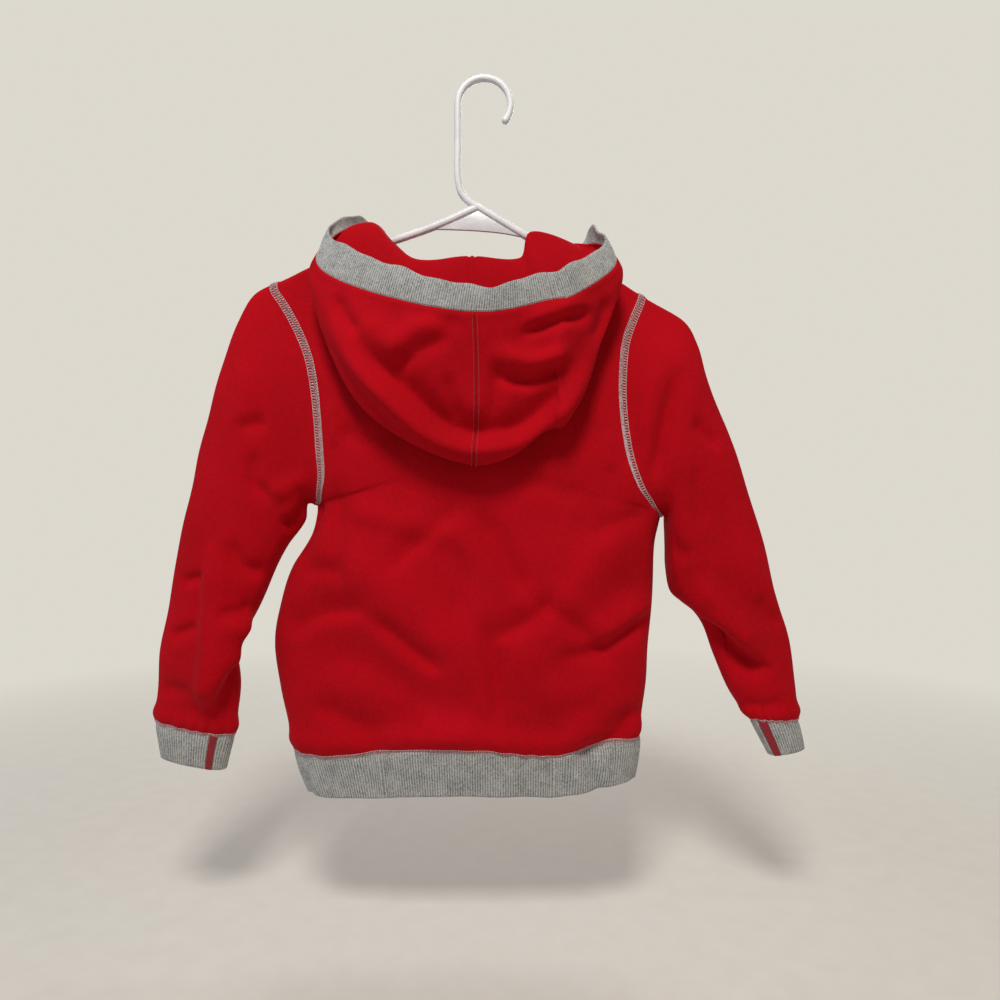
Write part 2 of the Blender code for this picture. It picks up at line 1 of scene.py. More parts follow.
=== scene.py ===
"""A child's fleece hoodie, hung back outwards on a white moulded hanger.

Every cut piece is lofted through the sections of its solid, cut finer, creased by listed folds and
given the thickness of its cloth. Tables and grids are in millimetres, and the objects made from them in
metres. +Z is up, the garment's back faces -Y, and the origin is the inside top of the hanger's hook.
"""

import logging
import math
from dataclasses import dataclass, field
from enum import Enum
from typing import Iterable, Sequence

import bmesh
import bpy
import numpy as np
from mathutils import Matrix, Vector


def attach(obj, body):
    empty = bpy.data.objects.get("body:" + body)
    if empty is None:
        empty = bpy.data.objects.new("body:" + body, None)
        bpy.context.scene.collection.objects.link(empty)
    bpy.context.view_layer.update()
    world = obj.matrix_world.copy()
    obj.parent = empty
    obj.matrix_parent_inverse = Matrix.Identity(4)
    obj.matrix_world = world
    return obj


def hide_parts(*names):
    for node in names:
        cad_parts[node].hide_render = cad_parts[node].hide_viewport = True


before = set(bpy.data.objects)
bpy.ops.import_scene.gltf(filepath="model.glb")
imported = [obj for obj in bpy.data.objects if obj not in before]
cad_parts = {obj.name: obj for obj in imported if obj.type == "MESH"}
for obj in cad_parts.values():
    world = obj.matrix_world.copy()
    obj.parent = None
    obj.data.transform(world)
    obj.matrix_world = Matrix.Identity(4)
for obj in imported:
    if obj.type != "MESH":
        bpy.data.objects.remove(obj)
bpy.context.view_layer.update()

LOG = logging.getLogger("hoodie")
MM = 0.001
TIP_SHARE = 0.6  # how far a thread's or a rod's blunt end stands out, as a share of its radius
BODY = "root"

NOISE_LOW, NOISE_HIGH = 0.3, 0.7  # most of a noise lies between these

Grid = np.ndarray
Row = tuple[float, ...]
Stops = Sequence[tuple[float, Row]]
Line = tuple[np.ndarray, np.ndarray]  # points and the cloth's normals at them


class Slot(Enum):
    """The material slots of the object."""

    FLEECE = "red_fleece"
    RIB = "grey_rib"
    TAPE = "red_tape"
    PLASTIC = "white_plastic"


class Facing(Enum):
    """The two faces of the hanging garment."""

    BACK = -1
    FRONT = 1


class Held(Enum):
    """How a sheet of cloth is held."""

    HUNG = "hung"
    DRAPED = "draped"
    STRETCHED = "stretched"


# Shader maths


class Value:
    """A number that varies over a surface: a socket with the operators that the finishes use."""

    def __init__(self, shader: "Shader", socket: bpy.types.NodeSocket) -> None:
        """Keeps the shader that the socket belongs to."""
        self.shader = shader
        self.socket = socket

    def maths(self, operation: str, *others: "Value | float") -> "Value":
        """Adds one Math node.

        Args:
            operation: the Math node's operation.
            others: what goes in beside this value.

        Returns:
            The node's result.
        """
        return self.shader.node("ShaderNodeMath", {"operation": operation}, dict(enumerate((self, *others))))

    def __add__(self, other: "Value | float") -> "Value":
        """The sum."""
        return self.maths("ADD", other)

    def __mul__(self, other: "Value | float") -> "Value":
        """The product."""
        return self.maths("MULTIPLY", other)


class Shader:
    """A material under construction, on one Principled shader."""

    def __init__(self, name: str) -> None:
        """Starts the material."""
        self.material = bpy.data.materials.new(name)
        self.material.use_nodes = True
        self.tree = self.material.node_tree
        self.surface = self.tree.nodes["Principled BSDF"]

    def node(
        self, kind: str, settings: dict | None = None, inputs: dict | None = None, out: int | str = 0
    ) -> Value:
        """Adds any node.

        Args:
            kind: the node's type.
            settings: what is set on the node before its sockets; "stops" fills a colour ramp.
            inputs: values or links for its sockets, by name or number.
            out: the output that is handed back.

        Returns:
            The chosen output.
        """
        made = self.tree.nodes.new(kind)
        for key, setting in (settings or {}).items():
            if key == "stops":
                self.fill_ramp(made.color_ramp, setting)
            else:
                setattr(made, key, setting)
        for key, value in (inputs or {}).items():
            self.feed(made.inputs[key], value)
        return Value(self, made.outputs[out])

    @staticmethod
    def fill_ramp(ramp: bpy.types.ColorRamp, stops: Stops) -> None:
        """Sets a ramp's stops.

        Args:
            ramp: the ramp.
            stops: place and colour of each stop, in order.
        """
        while len(ramp.elements) < len(stops):
            ramp.elements.new(1.0)
        for element, (place, colour) in zip(ramp.elements, stops):
            element.position = place
            element.color = (*colour, 1.0)

    def feed(self, socket: bpy.types.NodeSocket, value: Value | float | Row) -> None:
        """Links a value to a socket, or sets it there."""
        if isinstance(value, Value):
            self.tree.links.new(value.socket, socket)
        elif isinstance(value, (int, float)):
            socket.default_value = value
        else:
            missing = len(socket.default_value) - len(value)
            socket.default_value = (*value, *[1.0] * missing)

    def noise(self, place: Value, scale: float, detail: float = 2.0, roughness: float = 0.5) -> Value:
        """Soft noise of one scale, counted per metre, from 0 to 1."""
        inputs = {"Vector": place, "Scale": scale, "Detail": detail, "Roughness": roughness}
        return self.node("ShaderNodeTexNoise", {}, inputs)

    def ramp(self, factor: Value, stops: Stops) -> Value:
        """A colour for each value of the factor."""
        return self.node("ShaderNodeValToRGB", {"stops": stops}, {"Fac": factor})

    def levels(self, factor: Value, low: float, high: float, start: float = 0.0, end: float = 1.0) -> Value:
        """The factor from low to high stretched over start to end, and held there."""
        inputs = {"Value": factor, "From Min": low, "From Max": high, "To Min": start, "To Max": end}
        return self.node("ShaderNodeMapRange", {"clamp": True}, inputs)

    def within(self, noise: Value, between: Row) -> Value:
        """A noise spread over a range, as for a roughness."""
        return self.levels(noise, NOISE_LOW, NOISE_HIGH, *between)

    def blend(self, factor: Value, first: Value | Row, second: Value | Row) -> Value:
        """One colour turned into another by a factor."""
        return self.node("ShaderNodeMix", {"data_type": "RGBA"}, {0: factor, 6: first, 7: second}, out=2)

    def place(self) -> Value:
        """Where a point lies on the object, in metres."""
        return self.node("ShaderNodeTexCoord", out="Object")

    def cloth_place(self) -> Value:
        """Where a point lies on its piece of cloth."""
        return self.node("ShaderNodeUVMap", {"uv_map": "cloth"}, out="UV")

    def finish(
        self, colour: Value, roughness: Value, height: Value, depth: float, constants: dict[str, float | Row]
    ) -> bpy.types.Material:
        """Links what varies and sets what is the same all over.

        Args:
            colour: base colour.
            roughness: roughness.
            height: relief from 0 to 1 for the bump.
            depth: how deep that relief is, in metres.
            constants: other values by socket.

        Returns:
            The material.
        """
        self.feed(self.surface.inputs["Base Color"], colour)
        self.feed(self.surface.inputs["Roughness"], roughness)
        normal = self.node("ShaderNodeBump", {}, {"Height": height, "Distance": depth, "Strength": 1.0})
        self.feed(self.surface.inputs["Normal"], normal)
        for name, value in constants.items():
            self.feed(self.surface.inputs[name], value)
        return self.material


# Finishes


@dataclass(frozen=True)
class Fleece:
    """Brushed sweatshirt cloth: a dense knit face with a soft nap, matt, a little uneven in colour."""

    deep: Row = (0.34, 0.0004, 0.004)
    plain: Row = (0.47, 0.0008, 0.0065)
    bright: Row = (0.56, 0.0022, 0.012)
    knit_scale: float = 950.0
    nap_scale: float = 260.0
    wash_scale: float = 14.0
    mix: Row = (0.35, 0.4, 0.25)  # how much of the wash, the nap and the knit the colour follows
    roughness: Row = (0.86, 0.98)
    depth: float = 0.0005

    def material(self) -> bpy.types.Material:
        """Makes the finish."""
        shader = Shader(Slot.FLEECE.value)
        place = shader.place()
        wash = shader.noise(place, self.wash_scale, 3.0)
        nap = shader.noise(place, self.nap_scale, 4.0, 0.65)
        knit = shader.noise(place, self.knit_scale, 2.0)
        tone = shader.levels(wash * self.mix[0] + nap * self.mix[1] + knit * self.mix[2], 0.3, 0.72)
        colour = shader.ramp(tone, ((0.0, self.deep), (0.5, self.plain), (1.0, self.bright)))
        sheen = {"Sheen Weight": 0.08, "Sheen Roughness": 0.4, "Sheen Tint": (1.0, 0.12, 0.2)}
        rough, relief = shader.within(nap, self.roughness), knit * 0.6 + nap * 0.5
        return shader.finish(colour, rough, relief, self.depth, {**sheen, "Specular IOR Level": 0.12})


@dataclass(frozen=True)
class Rib:
    """Heather rib knit: grey yarns of several shades, with painted shade darkening the furrows between its
    ribs.
    """

    dark: Row = (0.13, 0.135, 0.135)
    middle: Row = (0.36, 0.365, 0.35)
    light: Row = (0.62, 0.61, 0.57)
    fleck_scale: float = 620.0
    blotch_scale: float = 90.0
    stitch_scale: float = 1400.0
    mix: Row = (0.62, 0.2, 0.18)  # how much of the flecks, the blotches and the painted shade of the rib furrows the colour follows
    roughness: Row = (0.84, 0.97)
    depth: float = 0.0005

    def material(self) -> bpy.types.Material:
        """Makes the finish."""
        shader = Shader(Slot.RIB.value)
        place, cloth = shader.place(), shader.cloth_place()
        fleck = shader.noise(place, self.fleck_scale, 3.0, 0.7)
        blotch = shader.noise(place, self.blotch_scale, 2.0)
        across = shader.node("ShaderNodeSeparateXYZ", {}, {0: cloth}, out="X")
        # painted shade: crest is 0 in each furrow between the ribs, and there the colour is made darker
        crest = (across * math.tau).maths("COSINE") * 0.5 + 0.5
        tone = shader.levels(fleck * self.mix[0] + blotch * self.mix[1] + crest * self.mix[2], 0.33, 0.70)
        colour = shader.ramp(tone, ((0.0, self.dark), (0.45, self.middle), (1.0, self.light)))
        relief = shader.noise(place, self.stitch_scale, 1.0) * 0.6 + fleck * 0.5
        constants = {"Sheen Weight": 0.1, "Sheen Roughness": 0.5, "Specular IOR Level": 0.22}
        return shader.finish(colour, shader.within(fleck, self.roughness), relief, self.depth, constants)


@dataclass(frozen=True)
class Tape:
    """Woven twill tape in the garment's red."""

    dark: Row = (0.17, 0.0015, 0.007)
    light: Row = (0.40, 0.004, 0.016)
    twill_scale: float = 260.0
    fleck_scale: float = 700.0
    roughness: Row = (0.6, 0.8)
    depth: float = 0.0003

    def material(self) -> bpy.types.Material:
        """Makes the finish."""
        shader = Shader(Slot.TAPE.value)
        place = shader.place()
        weave = {"Vector": place, "Scale": self.twill_scale, "Distortion": 1.2, "Detail": 1.0}
        twill = shader.node("ShaderNodeTexWave", {"bands_direction": "DIAGONAL"}, weave, out="Fac")
        fleck = shader.noise(place, self.fleck_scale)
        tone = shader.levels(twill * 0.5 + fleck * 0.5, 0.2, 0.8)
        colour = shader.ramp(tone, ((0.0, self.dark), (1.0, self.light)))
        rough = shader.within(fleck, self.roughness)
        return shader.finish(colour, rough, twill, self.depth, {"Sheen Weight": 0.1})


@dataclass(frozen=True)
class Thread:
    """Overlocking thread, fluffed by wear."""

    name: str = "pale_thread"
    dark: Row = (0.36, 0.20, 0.21)
    light: Row = (0.74, 0.58, 0.57)
    fleck_scale: float = 800.0
    roughness: Row = (0.6, 0.85)
    depth: float = 0.0002

    def material(self) -> bpy.types.Material:
        """Makes the finish."""
        shader = Shader(self.name)
        fleck = shader.noise(shader.place(), self.fleck_scale)
        colour = shader.ramp(shader.levels(fleck, 0.32, 0.68), ((0.0, self.dark), (1.0, self.light)))
        rough = shader.within(fleck, self.roughness)
        return shader.finish(colour, rough, fleck, self.depth, {"Sheen Weight": 0.2})


@dataclass(frozen=True)
class Moulded:
    """White moulded plastic: half gloss, faintly clouded, with the soft ripple of a cooled skin."""

    shade: Row = (0.74, 0.74, 0.75)
    plain: Row = (0.88, 0.87, 0.87)
    cloud_scale: float = 45.0
    skin_scale: float = 320.0
    roughness: Row = (0.28, 0.42)
    depth: float = 0.00012

    def material(self) -> bpy.types.Material:
        """Makes the finish."""
        shader = Shader(Slot.PLASTIC.value)
        place = shader.place()
        cloud = shader.noise(place, self.cloud_scale, 3.0)
        skin = shader.noise(place, self.skin_scale, 1.0)
        colour = shader.ramp(shader.within(cloud, (0.0, 1.0)), ((0.0, self.shade), (1.0, self.plain)))
        gloss = {"Coat Weight": 0.15, "Coat Roughness": 0.2, "IOR": 1.49}
        return shader.finish(colour, shader.within(cloud, self.roughness), skin, self.depth, gloss)


# Curves and grids


def through(rows: Grid, at: Grid) -> Grid:
    """Points of one smooth curve through the rows.

    Args:
        rows: the rows, of any width.
        at: the places to read, which count rows from 0.

    Returns:
        One row for each place.
    """
    rows = np.asarray(rows, float)
    at = np.clip(np.asarray(at, float), 0, len(rows) - 1)
    first = np.minimum(at.astype(int), len(rows) - 2)
    part = (at - first)[:, None]
    start, end = rows[first], rows[first + 1]
    leave = (end - rows[np.maximum(first - 1, 0)]) / 2
    arrive = (rows[np.minimum(first + 2, len(rows) - 1)] - start) / 2
    return (
        start * (2 * part**3 - 3 * part**2 + 1)
        + leave * (part**3 - 2 * part**2 + part)
        + end * (3 * part**2 - 2 * part**3)
        + arrive * (part**3 - part**2)
    )


def spread(rows: Sequence[Row], count: int) -> Grid:
    """Count + 1 points along the smooth curve through the rows, even in the rows' own steps."""
    return through(rows, np.linspace(0, len(rows) - 1, count + 1))


def column(table: Sequence[Row], at: Grid, which: int) -> Grid:
    """One column of a table whose first column runs from 0 to 1, read at each place in at."""
    rows = np.asarray(table, float)
    place = np.interp(at, rows[:, 0], np.arange(len(rows)))
    return through(rows[:, [which]], place)[:, 0]


def unit(vectors: Grid) -> Grid:
    """The vectors at length 1."""
    return vectors / np.maximum(np.linalg.norm(vectors, axis=-1, keepdims=True), 1e-9)


def step_up(low: float, high: float, value: Grid) -> Grid:
    """0 below low and 1 above high, with a smooth rise between."""
    share = np.clip((value - low) / (high - low), 0, 1)
    return share * share * (3 - 2 * share)


def hump(distance: Grid, width: float) -> Grid:
    """1 at no distance, falling smoothly to nothing past about twice the width."""
    return np.exp(-((distance / width) ** 2))


def point_rows(*columns: "Grid | float") -> Grid:
    """Coordinates side by side as rows of points."""
    return np.stack(np.broadcast_arrays(*columns), axis=-1).astype(float)


def grid_normals(grid: Grid, closed: bool) -> Grid:
    """A unit normal at each point of a grid whose rows run along its second axis."""
    if closed:
        along = np.roll(grid, -1, axis=1) - np.roll(grid, 1, axis=1)
    else:
        along = np.gradient(grid, axis=1)
    return unit(np.cross(along, np.gradient(grid, axis=0)))


def raised(grid: Grid, normals: Grid, lift: Grid) -> Grid:
    """The grid moved out along its normals, by an amount for each point."""
    return grid + normals * lift[:, :, None]


def lengths_along(grid: Grid, axis: int) -> Grid:
    """How far each point lies from the first along an axis of the grid."""
    steps = np.linalg.norm(np.diff(grid, axis=axis), axis=2)
    start = np.zeros_like(np.take(steps, [0], axis=axis))
    return np.concatenate([start, np.cumsum(steps, axis=axis)], axis=axis)


def even_places(grid: Grid, axis: int, step: float) -> Grid:
    """Places along an axis of a coarse grid that lie about a step apart on the cloth.

    Args:
        grid: the coarse grid.
        axis: 0 for its rows, 1 for the points along them.
        step: the distance aimed at.

    Returns:
        Places that count the coarse rows or points from 0.
    """
    total = lengths_along(grid, axis).mean(axis=1 - axis)
    count = max(int(math.ceil(total[-1] / step)), 2)
    return np.interp(np.linspace(0, total[-1], count + 1), total, np.arange(len(total)))


def resampled(grid: Grid, rows_at: Grid, across_at: Grid) -> Grid:
    """The grid read at other places, along smooth curves both ways."""
    rows, across, width = grid.shape
    lifted = through(grid.reshape(rows, across * width), rows_at).reshape(len(rows_at), across, width)
    turned = lifted.transpose(1, 0, 2).reshape(across, -1)
    return through(turned, across_at).reshape(len(across_at), len(rows_at), width).transpose(1, 0, 2)


def ring_wrapped(grid: Grid, extra: int = 3) -> Grid:
    """A closed grid with some points repeated at both ends, so that curves run on through its start."""
    return np.concatenate([grid[:, -extra:], grid, grid[:, : extra + 1]], axis=1)


# The cut of the garment, as its solids have it

TUBE = 3.8  # half the width of the hook's rod
HOOK_ARC = 25.0  # radius of the hook
SHOULDER_LIFT = 7.2  # seam above the middle of the hanger's arm
NECK_CENTRE_X = -10.0
NECK_HALF = 85.0  # half the neck's width
NECK_BACK = (-24.0, -187.0)  # y and z at the middle of the back neck
NECK_FRONT = (28.0, -215.0)  # y and z at the middle of the front neck
NECK_SLIP = 9.5  # how far the neck has slipped down on its left
NECK_REACH = 6.0  # the higher, the nearer to the neck its rounding stays
BAND_HEIGHT = 39.0
BAND_FLOOR = -664.0  # the open edge of the waistband is drawn to this height
HOOD_FOOT = 5.0  # the hood leaves the neck seam straight up before it folds
SLEEVE_SQUARENESS = 0.8  # under 1 a sleeve's section is fuller than an ellipse
CUFF_GATHER = 0.96  # the middle of a cuff, against the mean of its ends
TAPE_WIDTH = 8.0
TAPE_LEFT_X = -253.0
TAPE_RIGHT_X = 256.0

SHOULDER_CUTS = 4
NECK_CUTS = 16
SIDE_CUTS = 7

# The shank of the hanger's hook from the hook down: x, z of the rod's middle
SHANK = ((-25.0, -22.0), (-25.0, -60.0), (-25.0, -88.0), (-20.8, -106.0), (-7.2, -118.6))
# Its two arms, from its neck outwards, then their rounded tips
ARM_LEFT = ((-5.7, -118.0), (-48.5, -137.0), (-107.6, -158.0), (-160.0, -181.5), (-202.0, -201.0))
ARM_RIGHT = ((-5.7, -118.0), (47.8, -150.5), (90.0, -175.6), (127.5, -198.0), (160.0, -216.0))
TIP_LEFT = ((-211.0, -207.5), (-216.0, -216.0), (-214.0, -226.5), (-205.0, -231.5))
TIP_RIGHT = ((169.0, -222.0), (177.5, -232.0), (180.0, -242.5), (175.0, -251.0), (165.0, -254.5))

# Side seams from the hem up to the underarm: x, z
SIDE_LEFT = (
    (-177.5, -629.6), (-183.0, -608.0), (-190.7, -579.0), (-196.0, -545.0), (-197.0, -508.0),
    (-188.0, -478.0), (-178.0, -449.0), (-160.5, -423.0), (-156.8, -399.7),
)
SIDE_RIGHT = (
    (147.0, -617.8), (149.0, -600.0), (153.0, -572.0), (155.0, -545.0), (156.0, -515.0),
    (159.0, -485.0), (160.0, -458.0), (160.5, -430.0), (164.2, -409.2),
)
# Armholes from the underarm up: x, z, how far the back and the front stand from the middle plane
ARMHOLE_LEFT = (
    (-156.8, -399.7, 0.0, 0.0), (-154.0, -395.5, 7.5, 6.5), (-151.0, -387.0, 15.0, 12.5),
    (-147.6, -371.3, 23.0, 20.0),
    (-148.8, -348.0, 27.0, 24.0), (-151.0, -322.0, 26.0, 24.0), (-154.5, -290.0, 23.5, 21.0),
    (-160.5, -264.0, 19.5, 17.0), (-171.0, -240.0, 15.0, 13.0), (-184.0, -217.0, 11.0, 9.5),
    (-194.5, -202.0, 7.8, 7.6), (-196.6, -195.4, 5.8, 5.8), (-197.0, -191.5, 0.0, 0.0),
)
ARMHOLE_RIGHT = (
    (164.2, -409.2, 0.0, 0.0), (158.0, -403.5, 8.5, 7.0), (151.5, -395.5, 16.5, 13.5),
    (142.0, -382.0, 24.0, 20.0),
    (133.6, -359.0, 27.0, 24.0), (128.8, -332.0, 27.0, 24.0), (126.6, -302.0, 25.0, 22.0),
    (127.6, -275.0, 21.0, 18.0), (131.0, -250.0, 17.0, 14.0), (138.4, -229.0, 11.5, 10.0),
    (145.9, -211.5, 7.8, 7.6), (147.7, -204.6, 5.8, 5.8), (148.0, -201.3, 0.0, 0.0),
)
# Hem seam between its corners: share of the way across, height off the straight line at the back and front
HEM_SAG = ((0.0, 0.0, 0.0), (0.1, -3.0, -2.0), (0.3, 2.0, 1.0), (0.5, 0.0, 0.0), (0.78, -9.0, -4.0),
           (0.9, -1.0, 0.0), (1.0, 0.0, 0.0))
# Depth of the body's middle from the hem (0) to the shoulder (1): back and front
DEPTH = ((0.0, 29.0, 26.0), (0.1, 32.0, 28.5), (0.3, 34.0, 30.0), (0.55, 34.0, 30.0), (0.75, 27.0, 24.0),
         (0.88, 16.0, 14.5), (0.95, 10.2, 10.0), (0.978, 8.0, 7.8), (0.992, 5.9, 5.9), (1.0, 0.0, 0.0))

# Sleeves from the armhole to the cuff: outer edge x, z; inner edge x, z; depth of the back and the front half
SLEEVE_LEFT = (
    (-197.0, -191.5, -156.8, -399.7, 27.0, 24.0), (-217.5, -203.5, -167.0, -398.5, 28.0, 24.0),
    (-231.0, -228.0, -169.5, -413.0, 28.5, 24.5),
    (-246.0, -270.0, -176.0, -424.0, 29.0, 25.0), (-260.6, -324.0, -186.5, -438.0, 28.0, 25.0),
    (-274.0, -381.0, -195.5, -455.0, 27.0, 24.0), (-285.0, -437.5, -206.0, -482.0, 26.0, 23.0),
    (-294.0, -490.0, -220.0, -508.0, 25.0, 22.0), (-303.5, -538.0, -233.5, -530.0, 24.0, 20.0),
    (-306.5, -574.4, -231.0, -572.0, 20.0, 17.0), (-307.9, -602.0, -236.1, -616.0, 15.0, 14.0),
)
SLEEVE_RIGHT = (
    (148.0, -201.3, 164.2, -409.2, 27.0, 24.0), (185.5, -223.8, 172.5, -411.0, 31.0, 28.0),
    (199.0, -247.0, 173.0, -440.0, 30.0, 27.0), (207.5, -277.0, 173.5, -466.0, 29.0, 26.0),
    (224.6, -324.2, 177.0, -481.0, 28.0, 25.0), (243.5, -376.1, 186.8, -490.0, 26.0, 23.0),
    (260.0, -430.0, 199.0, -500.0, 25.0, 22.0), (273.0, -483.0, 208.0, -515.0, 23.0, 20.0),
    (286.0, -527.2, 216.5, -541.0, 21.0, 17.0), (292.6, -568.0, 231.5, -573.0, 17.0, 15.0),
    (294.6, -601.5, 251.5, -600.5, 13.0, 12.0),
)
# Lower edges of the cuffs, in the same columns
CUFF_END_LEFT = (-304.5, -636.0, -244.5, -648.0, 12.0, 12.0)
CUFF_END_RIGHT = (301.0, -628.0, 268.5, -634.5, 10.5, 10.5)

# The hood, by station round the neck: -1 and 1 at the centre front, 0 at the centre back. It rises from the
# neck seam to a stand, folds over, runs down inside, turns at the rim and comes up to the edge at its band.
HOOD_SECTIONS = (
    {"at": -1.0, "stand": (-10.6, 29, -207), "inside": (-11, 30, -206), "rim": (-11.3, 30, -205),
     "belly": (-11.6, 30, -204), "edge": (-12, 30, -203), "top": (-14, 29, -187)},
    {"at": -0.8125, "stand": (-58, 24.5, -192), "inside": (-59, 25, -190.5), "rim": (-60, 25, -189),
     "belly": (-61, 24.5, -187.5), "edge": (-62, 24, -186), "top": (-64, 22, -168)},
    {"at": -0.6875, "stand": (-84, 18.5, -168.5), "inside": (-86, 20, -166), "rim": (-87.5, 20.5, -163.5),
     "belly": (-89, 20.2, -161), "edge": (-91, 19.5, -158.5), "top": (-94, 17, -141)},
    {"at": -0.625, "stand": (-93, 14, -155), "inside": (-97, 16, -153), "rim": (-100, 16.5, -151.5),
     "belly": (-103, 16, -149.5), "edge": (-106, 15, -146.5), "top": (-109, 12.5, -130.5)},
    {"at": -0.5625, "stand": (-100, 4, -142), "inside": (-113, -4, -142.5), "rim": (-124, -11, -149.5),
     "belly": (-131, -16, -152.5), "edge": (-129, -18, -147), "top": (-125, -13, -131)},
    {"at": -0.5, "stand": (-106, -10, -138), "inside": (-130, -24, -158), "rim": (-149, -37, -206),
     "belly": (-154, -43, -199), "edge": (-147, -44, -186), "top": (-137, -38, -158)},
    {"at": -0.25, "stand": (-74, -29, -179), "inside": (-92, -41, -236), "rim": (-106, -50, -312),
     "belly": (-98, -69, -272), "edge": (-92, -71, -219), "top": (-84, -68, -192)},
    {"at": 0.0, "stand": (-10, -33, -180.5), "inside": (-8, -43, -262), "rim": (-8, -54, -363),
     "belly": (-5, -68, -305), "edge": (-6, -83, -238), "top": (-3, -85, -217.5)},
    {"at": 0.19, "stand": (33, -29, -181), "inside": (48, -41, -236), "rim": (56, -51, -330),
     "belly": (53, -68, -278), "edge": (58, -75.5, -226), "top": (52.5, -77.5, -203.5)},
    {"at": 0.25, "stand": (44, -26, -153), "inside": (66, -40, -226), "rim": (76, -50, -318),
     "belly": (72, -68, -268), "edge": (78, -72, -221), "top": (70, -74, -198.5)},
    {"at": 0.5, "stand": (86, -9, -158), "inside": (101, -24, -182), "rim": (119, -38, -208),
     "belly": (121, -44, -200), "edge": (116, -46, -189), "top": (107, -42, -168)},
    {"at": 0.5625, "stand": (80, 1, -156), "inside": (89, -6, -158), "rim": (105, -17, -172),
     "belly": (112, -25, -173), "edge": (109, -28, -165), "top": (103, -23, -148)},
    {"at": 0.625, "stand": (71, 13, -161), "inside": (75, 13, -157), "rim": (82, 9, -152),
     "belly": (90, 3, -152), "edge": (97, -3, -155), "top": (100, -6, -140)},
    {"at": 0.6875, "stand": (61, 18, -170), "inside": (62, 18, -162), "rim": (64, 19, -156),
     "belly": (70, 22, -153), "edge": (77, 27, -155), "top": (91, 35, -159)},
    {"at": 0.8125, "stand": (38, 24, -186), "inside": (39, 24, -169), "rim": (41, 30, -163),
     "belly": (44, 36, -166), "edge": (48, 40, -173), "top": (54, 44, -190)},
    {"at": 1.0, "stand": (-9, 28, -200), "inside": (-8.6, 28, -180), "rim": (-8.2, 31, -167),
     "belly": (-8, 34, -170), "edge": (-8, 36, -177), "top": (-8, 38, -194)},
)
HOOD_LEVELS = ("stand", "inside", "rim", "belly", "edge")


def arm_height(x: float) -> float:
    """Height of the middle of the hanger's arm above or below x."""
    order = sorted(ARM_LEFT if x < ARM_LEFT[0][0] else ARM_RIGHT)
    return float(np.interp(x, [p[0] for p in order], [p[1] for p in order]))


def rounding(across: Grid, power: float = 2.4) -> Grid:
    """1 in the middle of a panel and 0 at its sides, where it turns in as a rounded edge."""
    return np.maximum(1 - np.abs(2 * across - 1) ** power, 0) ** (1 / power)


